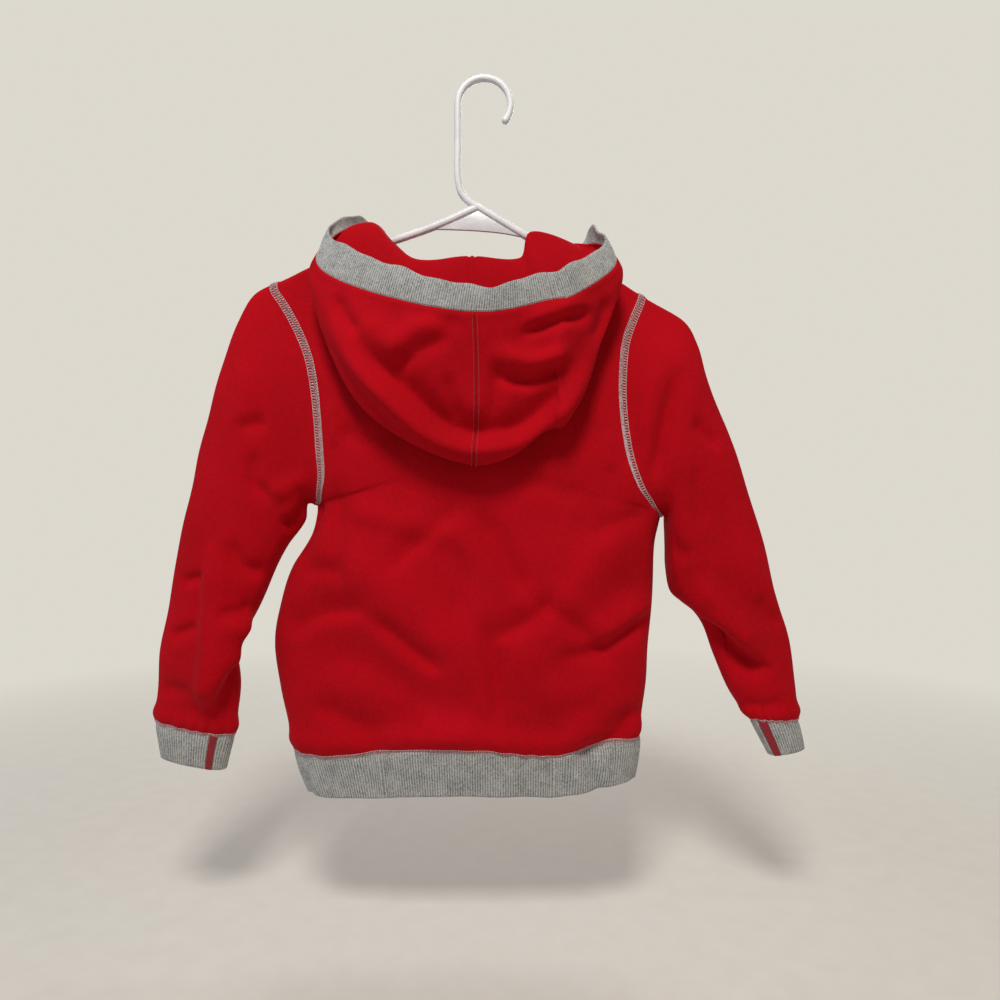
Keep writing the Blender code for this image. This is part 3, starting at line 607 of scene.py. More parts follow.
@dataclass(frozen=True)
class BodyCut:
    """The back and the front, between side seams, armholes, neck and hem."""

    shoulder_share: float = 0.25  # of the panel's width, at each side of the neck
    shoulder_bunching: float = 1.6
    slip_x: float = -50.0
    slip_width: float = 19.0
    band_pull: float = 0.55  # how far the band's open edge is drawn level
    band_gather: float = 0.93  # its depth, against the hem's

    def across_shares(self) -> Grid:
        """Where the panel's upright lines stand, from the left side (0) to the right (1)."""
        shoulder = self.shoulder_share * np.linspace(0, 1, SHOULDER_CUTS + 1) ** self.shoulder_bunching
        neck = np.linspace(self.shoulder_share, 1 - self.shoulder_share, NECK_CUTS + 1)[1:-1]
        return np.concatenate([shoulder, neck, 1 - shoulder[::-1]])

    def neck_curve(self, middle: Row) -> Grid:
        """The neck seam of a panel whose middle has this y and z."""
        angle = np.linspace(0, math.pi, NECK_CUTS + 1)
        x = NECK_CENTRE_X - NECK_HALF * np.cos(angle)
        sides = np.array([arm_height(x[0]), arm_height(x[-1])]) + SHOULDER_LIFT
        side_z = np.interp(x, [x[0], x[-1]], sides)
        drop = np.sin(angle) ** 1.8 * (1.5 - 0.5 * np.sin(angle))
        slip = NECK_SLIP * hump(x - self.slip_x, self.slip_width)
        return point_rows(x, middle[0] * np.sin(angle), side_z + (middle[1] - side_z) * drop - slip)

    def top_edge(self, left: Grid, right: Grid, middle: Row) -> Grid:
        """Shoulder seam, neck and shoulder seam, from left to right."""
        neck = self.neck_curve(middle)
        shares = np.linspace(0, 1, SHOULDER_CUTS + 1)[:, None] ** self.shoulder_bunching
        first = left + (neck[0] - left) * shares
        last = neck[-1] + (right - neck[-1]) * (1 - shares[::-1])
        for seam in (first, last):
            seam[:, 2] = [arm_height(x) + SHOULDER_LIFT for x in seam[:, 0]]
        return np.concatenate([first, neck[1:-1], last])

    @staticmethod
    def side(seam_rows: Sequence[Row], armhole: Sequence[Row], facing: Facing) -> Grid:
        """One upright edge: the side seam, then the armhole."""
        seam = spread(seam_rows, SIDE_CUTS)
        seam = point_rows(seam[:, 0], 0.0, seam[:, 1])
        rows = np.asarray(armhole, float)
        which = 2 if facing is Facing.BACK else 3
        hole = point_rows(rows[:, 0], facing.value * rows[:, which], rows[:, 1])
        hole[-1, 2] = arm_height(hole[-1, 0]) + SHOULDER_LIFT
        return np.concatenate([seam, hole[1:]])

    def panel(self, facing: Facing) -> Grid:
        """The panel's grid, rows from the hem up, points from left to right.

        Args:
            facing: back or front.

        Returns:
            The coarse grid.
        """
        which = 1 if facing is Facing.BACK else 2
        left = self.side(SIDE_LEFT, ARMHOLE_LEFT, facing)
        right = self.side(SIDE_RIGHT, ARMHOLE_RIGHT, facing)
        share = self.across_shares()
        hem = left[0] + (right[0] - left[0]) * share[:, None]
        hem[:, 2] += column(HEM_SAG, share, which)
        top = self.top_edge(left[-1], right[-1], NECK_BACK if facing is Facing.BACK else NECK_FRONT)
        across = share[None, :, None]
        length = lengths_along(left[:, None], 0)[:, 0]
        up = (length / length[-1])[:, None, None]
        edge = (1 - across) * left[:, None] + across * right[:, None]
        corners = (1 - up) * (left[0] * (1 - across) + right[0] * across)
        corners = corners + up * (left[-1] * (1 - across) + right[-1] * across)
        grid = (1 - up) * hem + up * top + edge - corners
        depth = facing.value * column(DEPTH, up[:, 0, 0], which)[:, None]
        middle = rounding(across[:, :, 0])
        level = edge[:, :, 1] * (1 - middle) + depth * middle
        grid[:, :, 1] = facing.value * np.hypot(level, top[:, 1] * up[:, :, 0] ** NECK_REACH)
        return grid

    def waistband(self, back: Grid, front: Grid) -> Grid:
        """Three rings of the band below the hem, from its open edge up."""
        top = np.concatenate([back[0], front[0][-2:0:-1]])
        low = top.copy()
        low[:, 2] -= BAND_HEIGHT
        left_share = np.clip((40 - low[:, 0]) / 220, 0, 1)
        right_share = np.clip((low[:, 0] - 60) / 90, 0, 1)
        low[:, 0] += 13 * left_share**2 - 5 * right_share
        low[:, 1] *= self.band_gather
        level = BAND_FLOOR - 5 * left_share + 9 * right_share
        low[:, 2] = (1 - self.band_pull) * low[:, 2] + self.band_pull * level
        middle = (top + low) / 2
        middle[:, 1] *= 0.95
        return np.stack([low, middle, top])


@dataclass(frozen=True)
class SleeveCut:
    """One sleeve and its cuff. A turned one runs the other way round, so that its outside stays out."""

    rows: Sequence[Row]
    cuff_end: Row
    tape_x: float
    turned: bool

    @staticmethod
    def oval(row: Row, shares: Grid) -> Grid:
        """One ring, from its outer edge down the back half to its inner edge and up the front half."""
        outer_x, outer_z, inner_x, inner_z, back, front = row
        turn = math.pi * shares
        along = (1 - np.cos(turn)) / 2
        x = outer_x + (inner_x - outer_x) * along
        z = outer_z + (inner_z - outer_z) * along
        swell = np.sin(turn) ** SLEEVE_SQUARENESS
        near = point_rows(x, -back * swell, z)
        far = point_rows(x, front * swell, z)
        return np.concatenate([near, far[-2:0:-1]])

    @staticmethod
    def ring_shares(hole: Grid) -> Grid:
        """How far round half a sleeve each point of the armhole lies, from the shoulder to the underarm."""
        length = lengths_along(hole[:, None], 0)[:, 0]
        return np.arccos(1 - 2 * np.clip(length / length[-1], 0, 1)) / math.pi

    def sleeve(self, back_hole: Grid, front_hole: Grid) -> Grid:
        """Rings from the armhole to the cuff seam."""
        hole = np.concatenate([back_hole, front_hole[-2:0:-1]])
        shares = self.ring_shares(back_hole)
        rings = np.stack([self.oval(row, shares) for row in self.rows])
        reach = 0.05 + 0.31 * (1 - shares) ** 0.7
        reach = np.concatenate([reach, reach[-2:0:-1]])
        keep = np.clip(1 - np.linspace(0, 1, len(self.rows))[:, None] / reach, 0, 1) ** 1.5
        return rings + keep[:, :, None] * (hole - rings[0])

    def cuff(self, top: Grid, shares: Grid) -> Grid:
        """Three rings of the cuff, pulled in a little by the rib."""
        end = self.oval(self.cuff_end, shares)
        middle = (top + end) / 2
        centre = middle.mean(axis=0)
        return np.stack([top, centre + (middle - centre) * CUFF_GATHER, end])


@dataclass(frozen=True)
class HoodCut:
    """The hood, folded down on the back."""

    @staticmethod
    def level(name: str, at: Grid) -> Grid:
        """Points at one level for each station in at."""
        rows = [section[name] for section in HOOD_SECTIONS]
        place = np.interp(at, [section["at"] for section in HOOD_SECTIONS], np.arange(len(rows)))
        return through(rows, place)

    @staticmethod
    def neck_loop(back: Grid, front: Grid) -> Grid:
        """The neck seam once round, from the centre front over the left side."""
        first, last = SHOULDER_CUTS, SHOULDER_CUTS + NECK_CUTS
        back_neck, front_neck = back[-1, first : last + 1], front[-1, first : last + 1]
        half = NECK_CUTS // 2
        return np.concatenate([front_neck[half::-1], back_neck[1:], front_neck[-2 : half - 1 : -1]])

    def grid(self, back: Grid, front: Grid, at: Grid, rows: int) -> Grid:
        """The whole hood, rows from the neck seam to the edge under the band.

        Args:
            back: the back panel's coarse grid.
            front: the front panel's coarse grid.
            at: the stations.
            rows: how many rows.

        Returns:
            The fine grid.
        """
        loop = self.neck_loop(back, front)
        seam = through(loop, (at + 1) / 2 * (len(loop) - 1))
        levels = [seam, seam + (0, 0, HOOD_FOOT)] + [self.level(name, at) for name in HOOD_LEVELS]
        stacked = np.stack(levels).reshape(len(levels), -1)
        return through(stacked, np.linspace(0, len(levels) - 1, rows)).reshape(rows, len(at), 3)


# How the cloth falls


FOLD_DEPTH = 1.35  # how much deeper every fold is made than its table says
FOLD_CUTS = 6  # how finely a fold's line is cut between two of its points
SHOULDER_REACH = 2.1  # a fold's shoulders reach this much further than the fold


@dataclass(frozen=True)
class Crease:
    """One fold: its line in the garment's plane, its height, its reach to each side and how it ends.

    The tail is the share of its length over which it dies away at each end, and the shoulder how far it pulls
    in the cloth beside it, as a share of its height.
    """

    line: Sequence[Row]
    height: float
    left: float
    right: float
    tail: float = 0.3
    shoulder: float = 0.3

    def relief(self, x: Grid, z: Grid) -> Grid:
        """How far the fold lifts the cloth at each place.

        Args:
            x: places across the garment.
            z: heights.

        Returns:
            The lift, in millimetres.
        """
        line = spread(self.line, FOLD_CUTS * (len(self.line) - 1))
        travelled = lengths_along(line[:, None], 0)[:, 0]
        best = np.full(x.shape, 1e9)
        signed, along = np.zeros(x.shape), np.zeros(x.shape)
        for number in range(len(line) - 1):
            start, run = line[number], line[number + 1] - line[number]
            length = max(float(np.hypot(*run)), 1e-6)
            share = np.clip(((x - start[0]) * run[0] + (z - start[1]) * run[1]) / length**2, 0, 1)
            off_x, off_z = x - start[0] - share * run[0], z - start[1] - share * run[1]
            distance = np.hypot(off_x, off_z)
            side = np.sign(run[0] * off_z - run[1] * off_x)
            nearer = distance < best
            best = np.where(nearer, distance, best)
            signed = np.where(nearer, side * distance, signed)
            along = np.where(nearer, travelled[number] + share * length, along)
        along = along / travelled[-1]
        width = np.where(signed > 0, self.left, self.right)
        ends = step_up(0, self.tail, along) * step_up(0, self.tail, 1 - along)
        pulled = self.shoulder * hump(signed, width * SHOULDER_REACH)
        return FOLD_DEPTH * self.height * ends * (hump(signed, width) * (1 + self.shoulder) - pulled)


def fold(line: Sequence[Row], height: float, width: float, lean: float = 0.0) -> Crease:
    """A fold of one width, or steeper on one side.

    Args:
        line: where it runs.
        height: its height, or its depth below 0.
        width: its reach to each side.
        lean: above 0 it is steep on the right of its line, below 0 on the left.

    Returns:
        The crease.
    """
    return Crease(line, height, width * (1 + lean), width * (1 - lean))


BODY_FOLDS = (
    fold(((-134, -365), (-134, -430), (-130, -491)), -2.6, 9, 0.2),
    fold(((-140, -400), (-75, -416), (-20, -430)), 2.4, 12),
    fold(((-14, -398), (-48, -424), (-96, -470)), -3.6, 11, -0.3),
    fold(((-172, -463), (-150, -458), (-120, -462)), -2.6, 9),
    fold(((-186, -524), (-150, -501), (-96, -494)), -4.6, 12, 0.4),
    fold(((-110, -494), (-72, -526), (-30, -556)), -5.0, 9, 0.3),
    fold(((-10, -398), (18, -448), (46, -494)), -4.4, 12, 0.3),
    fold(((2, -524), (30, -512), (50, -500), (66, -470)), -3.8, 10, 0.3),
    fold(((-4, -490), (6, -524), (12, -560), (15, -616)), -3.8, 9),
    fold(((48, -484), (80, -508), (112, -530)), -4.2, 10),
    fold(((84, -534), (124, -508), (164, -482)), 5.2, 12, 0.35),
    fold(((60, -538), (100, -532), (160, -498)), -3.4, 9),
    fold(((96, -520), (120, -550), (140, -584)), -2.8, 11),
    fold(((-160, -576), (-122, -600), (-80, -620)), -4.6, 14, 0.3),
    fold(((74, -632), (112, -616), (150, -584)), -5.4, 12, 0.3),
    fold(((60, -610), (104, -596), (146, -560)), 3.6, 15),
    fold(((30, -372), (64, -384), (100, -394)), -2.2, 11),
    fold(((152, -405), (126, -415), (92, -427)), -2.6, 10),
    fold(((-152, -386), (-160, -420), (-168, -460)), -3.6, 10),
    fold(((-136, -332), (-116, -336), (-92, -344)), -2.0, 9),
    fold(((-60, -600), (-30, -606), (0, -600)), 2.4, 12),
    fold(((-120, -556), (-90, -572), (-60, -580)), 1.8, 14),
    fold(((118, -330), (112, -350), (116, -372)), 1.6, 9),
    fold(((-140, -300), (-136, -330), (-138, -352)), 1.6, 9),
    fold(((-150, -400), (-120, -450), (-60, -500), (10, -560)), 4.5, 26, 0.0),
    fold(((150, -400), (110, -440), (70, -500), (20, -575)), 4.0, 22, 0.2),
    fold(((-170, -545), (-120, -540), (-60, -575), (0, -590)), -3.5, 20),
    fold(((-60, -400), (-10, -440), (0, -480), (-10, -540)), 3.0, 16, 0.2),
    fold(((40, -560), (90, -570), (140, -540)), 3.4, 18),
)

BODY_FRONT_FOLDS = (
    fold(((148, -404), (116, -428), (84, -440)), -3.2, 8, 0.2),
    fold(((-146, -398), (-112, -424), (-72, -444)), -3.6, 9, 0.2),
    fold(((-176, -500), (-132, -512), (-96, -500)), -4.6, 8, 0.3),
    fold(((-18, -300), (-24, -352), (-14, -410)), -2.8, 9),
    fold(((-60, -250), (-30, -284), (0, -292), (36, -282)), 2.6, 12, 0.2),
    fold(((30, -470), (42, -520), (36, -590)), -3.6, 8, 0.2),
    fold(((-70, -520), (-44, -560), (-52, -606)), -3.2, 8),
    fold(((96, -500), (126, -490), (152, -470)), 4.2, 8, 0.3),
    fold(((-150, -590), (-110, -606), (-70, -612)), -4.2, 9, 0.2),
    fold(((60, -612), (100, -606), (138, -588)), -4.6, 9, 0.2),
)

SLEEVE_FOLDS = (
    Crease(((-246, -424), (-251, -487), (-254, -528), (-257, -576), (-254, -612)), 6.5, 26, 5, shoulder=0.1),
    Crease(((-206, -494), (-220, -512), (-233, -534), (-248, -562), (-254, -590)), 9.0, 5, 26, tail=0.25),
    fold(((-224, -528), (-236, -556), (-240, -598)), -4.5, 8),
    fold(((-158, -394), (-174, -414), (-190, -420)), -6.5, 8, 0.2),
    fold(((-160, -372), (-180, -384), (-198, -392)), 3.4, 9),
    fold(((-226, -330), (-210, -326), (-194, -324)), -2.8, 7),
    fold(((-205, -346), (-208, -378), (-188, -397)), -3.2, 8),
    fold(((-234, -428), (-220, -456), (-192, -462)), -3.6, 9),
    fold(((-278, -471), (-266, -467), (-252, -465)), -3.2, 6),
    fold(((-292, -522), (-272, -515), (-256, -510)), -3.2, 7),
    fold(((-246, -499), (-228, -497), (-209, -492)), -2.8, 7),
    fold(((-300, -566), (-282, -570), (-262, -566)), -2.4, 8),
    fold(((-222, -262), (-216, -300), (-226, -340)), 2.2, 12),
    fold(((179, -268), (168, -306), (160, -345), (151, -388)), -5.0, 8, 0.2),
    fold(((160, -262), (148, -306), (144, -350)), 2.4, 9),
    fold(((188, -320), (202, -334), (218, -349)), -3.2, 7),
    fold(((192, -358), (196, -390), (202, -424)), -2.4, 9),
    fold(((186, -462), (222, -500), (262, -536)), 7.0, 16, -0.2),
    fold(((192, -498), (222, -522), (242, -541), (270, -556)), -10.5, 10, -0.4),
    fold(((160, -420), (176, -440), (194, -452)), -3.0, 9),
    fold(((250, -480), (262, -500), (280, -512)), -2.4, 8),
    fold(((236, -582), (258, -588), (282, -580)), -2.6, 8),
)

SLEEVE_FRONT_FOLDS = (
    fold(((-212, -470), (-240, -520), (-262, -560)), -5.0, 12, 0.2),
    fold(((-280, -470), (-262, -486), (-236, -490)), -3.6, 8),
    fold(((-196, -300), (-214, -360), (-222, -420)), -3.6, 10),
    fold(((-164, -392), (-186, -420), (-206, -430)), -4.2, 9),
    fold(((176, -280), (186, -340), (204, -400)), -3.8, 10),
    fold(((200, -500), (232, -514), (262, -506)), -5.4, 10, 0.2),
    fold(((168, -420), (190, -446), (214, -454)), -3.8, 9),
    fold(((246, -560), (268, -556), (288, -566)), -2.8, 8),
)

HOOD_FOLDS = (
    fold(((-86, -274), (-56, -254), (-22, -243)), 3.6, 12),
    fold(((-78, -290), (-52, -266), (-18, -256)), -3.6, 10, 0.2),
    fold(((-122, -246), (-100, -272), (-74, -292), (-40, -325), (-14, -337), (10, -337), (32, -334),
          (60, -312), (82, -278), (94, -250)), -7.0, 12, 0.3),
    Crease(((-140, -226), (-112, -272), (-84, -305), (-52, -336), (-20, -350), (12, -350), (44, -340),
            (70, -316), (94, -280), (108, -240)), 7.5, 9, 9, tail=0.2, shoulder=0.2),
    fold(((4, -268), (42, -277), (80, -266)), 4.4, 8),
    fold(((6, -287), (38, -294), (80, -278)), -5.0, 7, 0.2),
    fold(((26, -262), (48, -249), (100, -231)), -3.8, 6),
    fold(((30, -246), (60, -236), (98, -222)), 2.4, 7),
    fold(((-30, -284), (-27, -304), (-18, -330)), -2.8, 6),
    fold(((12, -272), (11, -300), (7, -330)), -3.0, 7),
    fold(((-100, -236), (-84, -262), (-66, -280)), 3.2, 12),
    fold(((-128, -214), (-118, -238), (-104, -256)), -3.2, 7),
    fold(((96, -262), (104, -240), (110, -214)), -3.0, 7),
    fold(((-60, -232), (-30, -246), (-12, -250)), -1.8, 8),
)


@dataclass(frozen=True)
class Fall:
    """The folds of the back and the front, and the soft unevenness of hanging cloth."""

    back: Sequence[Crease]
    front: Sequence[Crease] = ()
    ripple: float = 0.9
    ripple_length: float = 70.0
    waves_laid: int = 7
    seed: int = 7

    def waves(self, points: Grid) -> Grid:
        """Gentle unevenness, the same wherever pieces meet."""
        draw = np.random.default_rng(self.seed)
        total = np.zeros(points.shape[:-1])
        for _ in range(self.waves_laid):
            heading = unit(draw.normal(size=3))
            length = draw.uniform(0.6, 1.6) * self.ripple_length
            total += np.sin(points @ heading * math.tau / length + draw.uniform(0, math.tau))
        return self.ripple * total / 3

    def relief(self, points: Grid, normals: Grid) -> Grid:
        """How far the cloth stands out of its plain form at each point."""
        total = self.waves(points)
        for facing, folds in ((Facing.BACK, self.back), (Facing.FRONT, self.front)):
            faces = step_up(0.0, 0.55, normals[..., 1] * facing.value)
            for crease in folds:
                total = total + faces * crease.relief(points[..., 0], points[..., 2])
        return total


# Cloth as a mesh


@dataclass(frozen=True)
class Cut:
    """How a piece was cut, in metres, how it is held and what it lies on."""

    flat: tuple[float, float]
    area: float
    held: Held
    rests_on: tuple[str, ...]


CUTS = {
    "back": Cut((0.41, 0.46), 0.150, Held.HUNG, ("hanger_moulding",)),
    "front": Cut((0.41, 0.45), 0.145, Held.HUNG, ("hanger_moulding",)),
    "sleeve_left": Cut((0.33, 0.44), 0.085, Held.HUNG, ("hanger_moulding",)),
    "cuff_left": Cut((0.14, 0.05), 0.0045, Held.STRETCHED, ("sleeve_left_panel",)),
    "sleeve_right": Cut((0.33, 0.44), 0.085, Held.HUNG, ("hanger_moulding",)),
    "cuff_right": Cut((0.14, 0.05), 0.0045, Held.STRETCHED, ("sleeve_right_panel",)),
    "waistband": Cut((0.68, 0.043), 0.0265, Held.STRETCHED, ("back_panel",)),
    "hood_left": Cut((0.27, 0.36), 0.047, Held.DRAPED, ("back_panel",)),
    "hood_right": Cut((0.27, 0.36), 0.047, Held.DRAPED, ("back_panel",)),
    "hood_band": Cut((0.62, 0.021), 0.0125, Held.DRAPED, ("hood_left_panel", "hood_right_panel")),
}
KINDS = {Slot.FLEECE: "panel", Slot.RIB: "rib", Slot.TAPE: "strip"}


@dataclass
class Cloth:
    """One cut piece on its middle surface."""

    node: str
    slot: Slot
    middle: Grid
    thickness: float
    closed: bool = False
    ribs: int = 0
    rib_height: float = 0.0

    def rib_places(self) -> Grid:
        """How many ribs lie before each point of a row, with one place more where the piece is closed."""
        count = self.middle.shape[1] + (1 if self.closed else 0)
        return np.linspace(0, self.ribs if self.ribs else count * 0.01, count)

    def normals(self) -> Grid:
        """Normals of the middle surface."""
        return grid_normals(self.middle, self.closed)

    def outer(self) -> Grid:
        """The outer face, ribs and all."""
        lift = np.full(self.middle.shape[:2], self.thickness / 2)
        if self.ribs:
            crest = 0.5 + 0.5 * np.cos(math.tau * self.rib_places()[: self.middle.shape[1]])
            lift = lift + self.rib_height * (crest**0.7 - 0.5)[None]
        return raised(self.middle, self.normals(), lift)

    def boundary(self) -> list[tuple[Grid, Grid]]:
        """Each open edge as rows and points along it, run with the outer face on its left."""
        rows, across = self.middle.shape[:2]
        if self.closed:
            turn = np.arange(across + 1)
            return [(np.zeros(across + 1, int), turn), (np.full(across + 1, rows - 1), turn[::-1])]
        right, up = np.arange(across - 1), np.arange(rows - 1)
        i = np.concatenate([right * 0, up, right * 0 + rows - 1, up[::-1] + 1, [0]])
        j = np.concatenate([right, up * 0 + across - 1, right[::-1] + 1, up * 0, [0]])
        return [(i, j)]

    def rim(self, i: Grid, j: Grid) -> Grid:
        """Points that round off an open edge."""
        rows, across = self.middle.shape[:2]
        inside_i = np.clip(i, 1, rows - 2)
        inside_j = j % across if self.closed else np.clip(j, 1, across - 2)
        edge = self.middle[i, j % across]
        return edge + unit(edge - self.middle[inside_i, inside_j]) * self.thickness * 0.45

    def mesh(self) -> bpy.types.Mesh:
        """The piece as a closed shell with rounded edges and cloth coordinates."""
        rows, across = self.middle.shape[:2]
        layer = rows * across
        inner = self.middle - self.normals() * self.thickness / 2
        points = [self.outer().reshape(-1, 3), inner.reshape(-1, 3)]
        spans = across if self.closed else across - 1
        i, j = (part.ravel() for part in np.meshgrid(np.arange(rows - 1), np.arange(spans), indexing="ij"))
        corner_i, corner_j = np.stack([i, i, i + 1, i + 1], 1), np.stack([j, j + 1, j + 1, j], 1)
        index = corner_i * across + corner_j % across
        faces = [index, index[:, ::-1] + layer]
        places = [(corner_i, corner_j), (corner_i[:, ::-1], corner_j[:, ::-1])]
        count = 2 * layer
        for edge_i, edge_j in self.boundary():
            edge = edge_i * across + edge_j % across
            steps = len(edge) - 1
            points.append(self.rim(edge_i[:-1], edge_j[:-1]))
            here, there = np.arange(steps), np.arange(1, steps + 1)
            rim = count + np.arange(steps + 1) % steps
            faces.append(np.stack([edge[there], edge[here], rim[here], rim[there]], 1))
            faces.append(np.stack([rim[there], rim[here], edge[here] + layer, edge[there] + layer], 1))
            both = np.stack([there, here, here, there], 1)
            places += [(edge_i[both], edge_j[both])] * 2
            count += steps
        mesh = smooth_mesh(f"{self.node}_{KINDS[self.slot]}", points, np.concatenate(faces).tolist())
        self.lay_out(mesh, places)
        return mesh

    def lay_out(self, mesh: bpy.types.Mesh, places: Iterable[tuple[Grid, Grid]]) -> None:
        """Writes the cloth coordinates: ribs along a row, and metres up the piece."""
        ribs = self.rib_places()
        up = lengths_along(self.middle, 0).mean(axis=1) * MM
        pairs = [np.stack([ribs[j], up[i]], axis=-1).reshape(-1, 2) for i, j in places]
        layer = mesh.uv_layers.new(name="cloth")
        layer.data.foreach_set("uv", np.concatenate(pairs).ravel())

    def build(self, finishes: dict[Slot, bpy.types.Material]) -> bpy.types.Object:
        """Makes the piece, named after the solid that it stands for, and hides that solid."""
        piece = new_piece(self.mesh(), finishes[self.slot])
        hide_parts(self.node)
        return piece


def smooth_mesh(name: str, points: Sequence[Grid], faces: Sequence[Sequence[int]]) -> bpy.types.Mesh:
    """A smooth-shaded mesh from groups of points in millimetres.

    Args:
        name: the mesh's name.
        points: the points, in groups.
        faces: the faces, which count the points through all the groups.

    Returns:
        The mesh.
    """
    mesh = bpy.data.meshes.new(name)
    mesh.from_pydata((np.concatenate(points) * MM).tolist(), [], faces)
    mesh.polygons.foreach_set("use_smooth", np.ones(len(mesh.polygons), bool))
    return mesh


def placed(name: str, data: bpy.types.ID, at: Row = (0.0, 0.0, 0.0)) -> bpy.types.Object:
    """An object of any kind, put into the scene."""
    made = bpy.data.objects.new(name, data)
    made.location = at
    bpy.context.scene.collection.objects.link(made)
    return made


def new_piece(mesh: bpy.types.Mesh, material: bpy.types.Material) -> bpy.types.Object:
    """A piece of the object that rides on its one body.

    Args:
        mesh: its mesh, which has the piece's name.
        material: its finish.

    Returns:
        The piece.
    """
    mesh.materials.append(material)
    made = placed(mesh.name, mesh)
    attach(made, BODY)
    LOG.info("%s: %d faces", mesh.name, len(mesh.polygons))
    return made


# The garment


@dataclass
class Garment:
    """Every cut piece, lofted, creased and joined along its seams."""

    body: BodyCut = field(default_factory=BodyCut)
    hood: HoodCut = field(default_factory=HoodCut)
    body_step: float = 2.6
    sleeve_step: float = 2.5
    hood_step: float = 2.4
    rib_pitch: float = 2.3
    rib_samples: int = 5
    fleece_thickness: float = 1.7
    rib_thickness: float = 1.8
    rib_height: float = 0.6
    seam_rise: float = 0.7
    seam_half: float = 3.9
    blouse: float = 4.2
    gather_height: float = 0.9
    rib_row_step: float = 3.2
    band_rib_pitch: float = 2.1
    hood_rows: int = 150
    tape_thickness: float = 0.6
    pieces: dict[str, Cloth] = field(default_factory=dict)

    def __post_init__(self) -> None:
        """Lofts the coarse grids and gives the points of each seam one normal."""
        self.fall = Fall(BODY_FOLDS + SLEEVE_FOLDS, BODY_FRONT_FOLDS + SLEEVE_FRONT_FOLDS)
        self.hood_fall = Fall(HOOD_FOLDS, ripple=0.7)
        self.cuts = {
            "left": SleeveCut(SLEEVE_LEFT, CUFF_END_LEFT, TAPE_LEFT_X, True),
            "right": SleeveCut(SLEEVE_RIGHT, CUFF_END_RIGHT, TAPE_RIGHT_X, False),
        }
        self.back = self.body.panel(Facing.BACK)
        self.front = self.body.panel(Facing.FRONT)
        self.coarse: dict[str, tuple[Grid, bool]] = {
            "back": (self.back, False),
            "front": (self.front[:, ::-1], False),
            "waistband": (self.body.waistband(self.back, self.front), True),
        }
        for side, cut in self.cuts.items():
            index = 0 if side == "left" else -1
            holes = [panel[SIDE_CUTS:, index][::-1] for panel in (self.back, self.front)]
            sleeve = cut.sleeve(*holes)
            cuff = cut.cuff(sleeve[-1], cut.ring_shares(holes[0]))
            if cut.turned:
                sleeve, cuff = sleeve[:, ::-1], cuff[:, ::-1]
            self.coarse[f"sleeve_{side}"] = (sleeve, True)
            self.coarse[f"cuff_{side}"] = (cuff, True)
        self.coarse_normals = self.shared_normals()

    def shared_normals(self) -> dict[str, Grid]:
        """Normals of the coarse grids, one for all the points that meet at a seam."""
        found = {name: grid_normals(grid, closed) for name, (grid, closed) in self.coarse.items()}
        total: dict[tuple, Grid] = {}
        for name, (grid, _) in self.coarse.items():
            for point, normal in zip(grid.reshape(-1, 3), found[name].reshape(-1, 3)):
                key = tuple(np.round(point, 2))
                total[key] = total.get(key, 0) + normal
        for name, (grid, _) in self.coarse.items():
            shared = [total[tuple(np.round(point, 2))] for point in grid.reshape(-1, 3)]
            found[name] = unit(np.array(shared)).reshape(grid.shape)
        return found

    def fine(self, name: str, row_step: float, across_step: float) -> tuple[Grid, Grid, Grid]:
        """A piece cut finer.

        Args:
            name: the piece.
            row_step: distance between its rows.
            across_step: distance between the points of a row.

        Returns:
            The plain grid, its normals and the place of each row in the coarse grid.
        """
        grid, closed = self.coarse[name]
        normals = self.coarse_normals[name]
        rows_at = even_places(grid, 0, row_step)
        if not closed:
            across_at = even_places(grid, 1, across_step)
            return resampled(grid, rows_at, across_at), unit(resampled(normals, rows_at, across_at)), rows_at
        ring = np.concatenate([grid, grid[:, :1]], axis=1)
        across_at = even_places(ring, 1, across_step)[:-1] + 3
        parts = [resampled(ring_wrapped(part), rows_at, across_at) for part in (grid, normals)]
        return parts[0], unit(parts[1]), rows_at

    def flat_seam(self, distance: Grid) -> Grid:
        """The raised strip of a flat-locked seam beside which a point lies."""
        return self.seam_rise * (1 - step_up(self.seam_half, self.seam_half + 1.6, distance))

    def body_piece(self, name: str) -> Cloth:
        """The back or the front, gathered into the waistband that it blouses over."""
        plain, normals, rows_at = self.fine(name, self.body_step, self.body_step)
        relief = self.fall.relief(plain, normals)
        across, up = lengths_along(plain, 1), lengths_along(plain, 0)
        side = np.minimum(across, across[:, -1:] - across)
        armhole = step_up(SIDE_CUTS - 0.4, SIDE_CUTS + 0.2, rows_at)[:, None]
        relief += armhole * self.flat_seam(side) - (1 - armhole) * 0.9 * hump(side, 2.4)
        relief += self.blouse * hump(up - 13, 9.5) * step_up(0, 10, side) - 1.0 * hump(up, 3)
        gathers = np.sin(across / 3.4 + 2.2 * np.sin(across / 19)) * (0.5 + 0.5 * np.sin(across / 31 + 1))
        relief += self.gather_height * gathers * hump(up - 6, 10)
        return Cloth(name, Slot.FLEECE, raised(plain, normals, relief), self.fleece_thickness)

    def sleeve_piece(self, name: str) -> Cloth:
        """One sleeve."""
        plain, normals, _ = self.fine(name, self.sleeve_step, self.sleeve_step)
        relief = self.fall.relief(plain, normals)
        down = lengths_along(plain, 0)
        up = down[-1:] - down
        roll, cuff_seam = 2.4 * hump(up - 9, 7), -0.8 * hump(up, 3)
        relief += self.flat_seam(down) + roll + cuff_seam
        ring = np.linspace(0, 1, plain.shape[1], endpoint=False)[None]
        gathers = np.sin(math.tau * (13 * ring + 0.2 * np.sin(math.tau * 3 * ring)))
        relief += 0.7 * gathers * hump(up - 5, 9)
        return Cloth(name, Slot.FLEECE, raised(plain, normals, relief), self.fleece_thickness, closed=True)

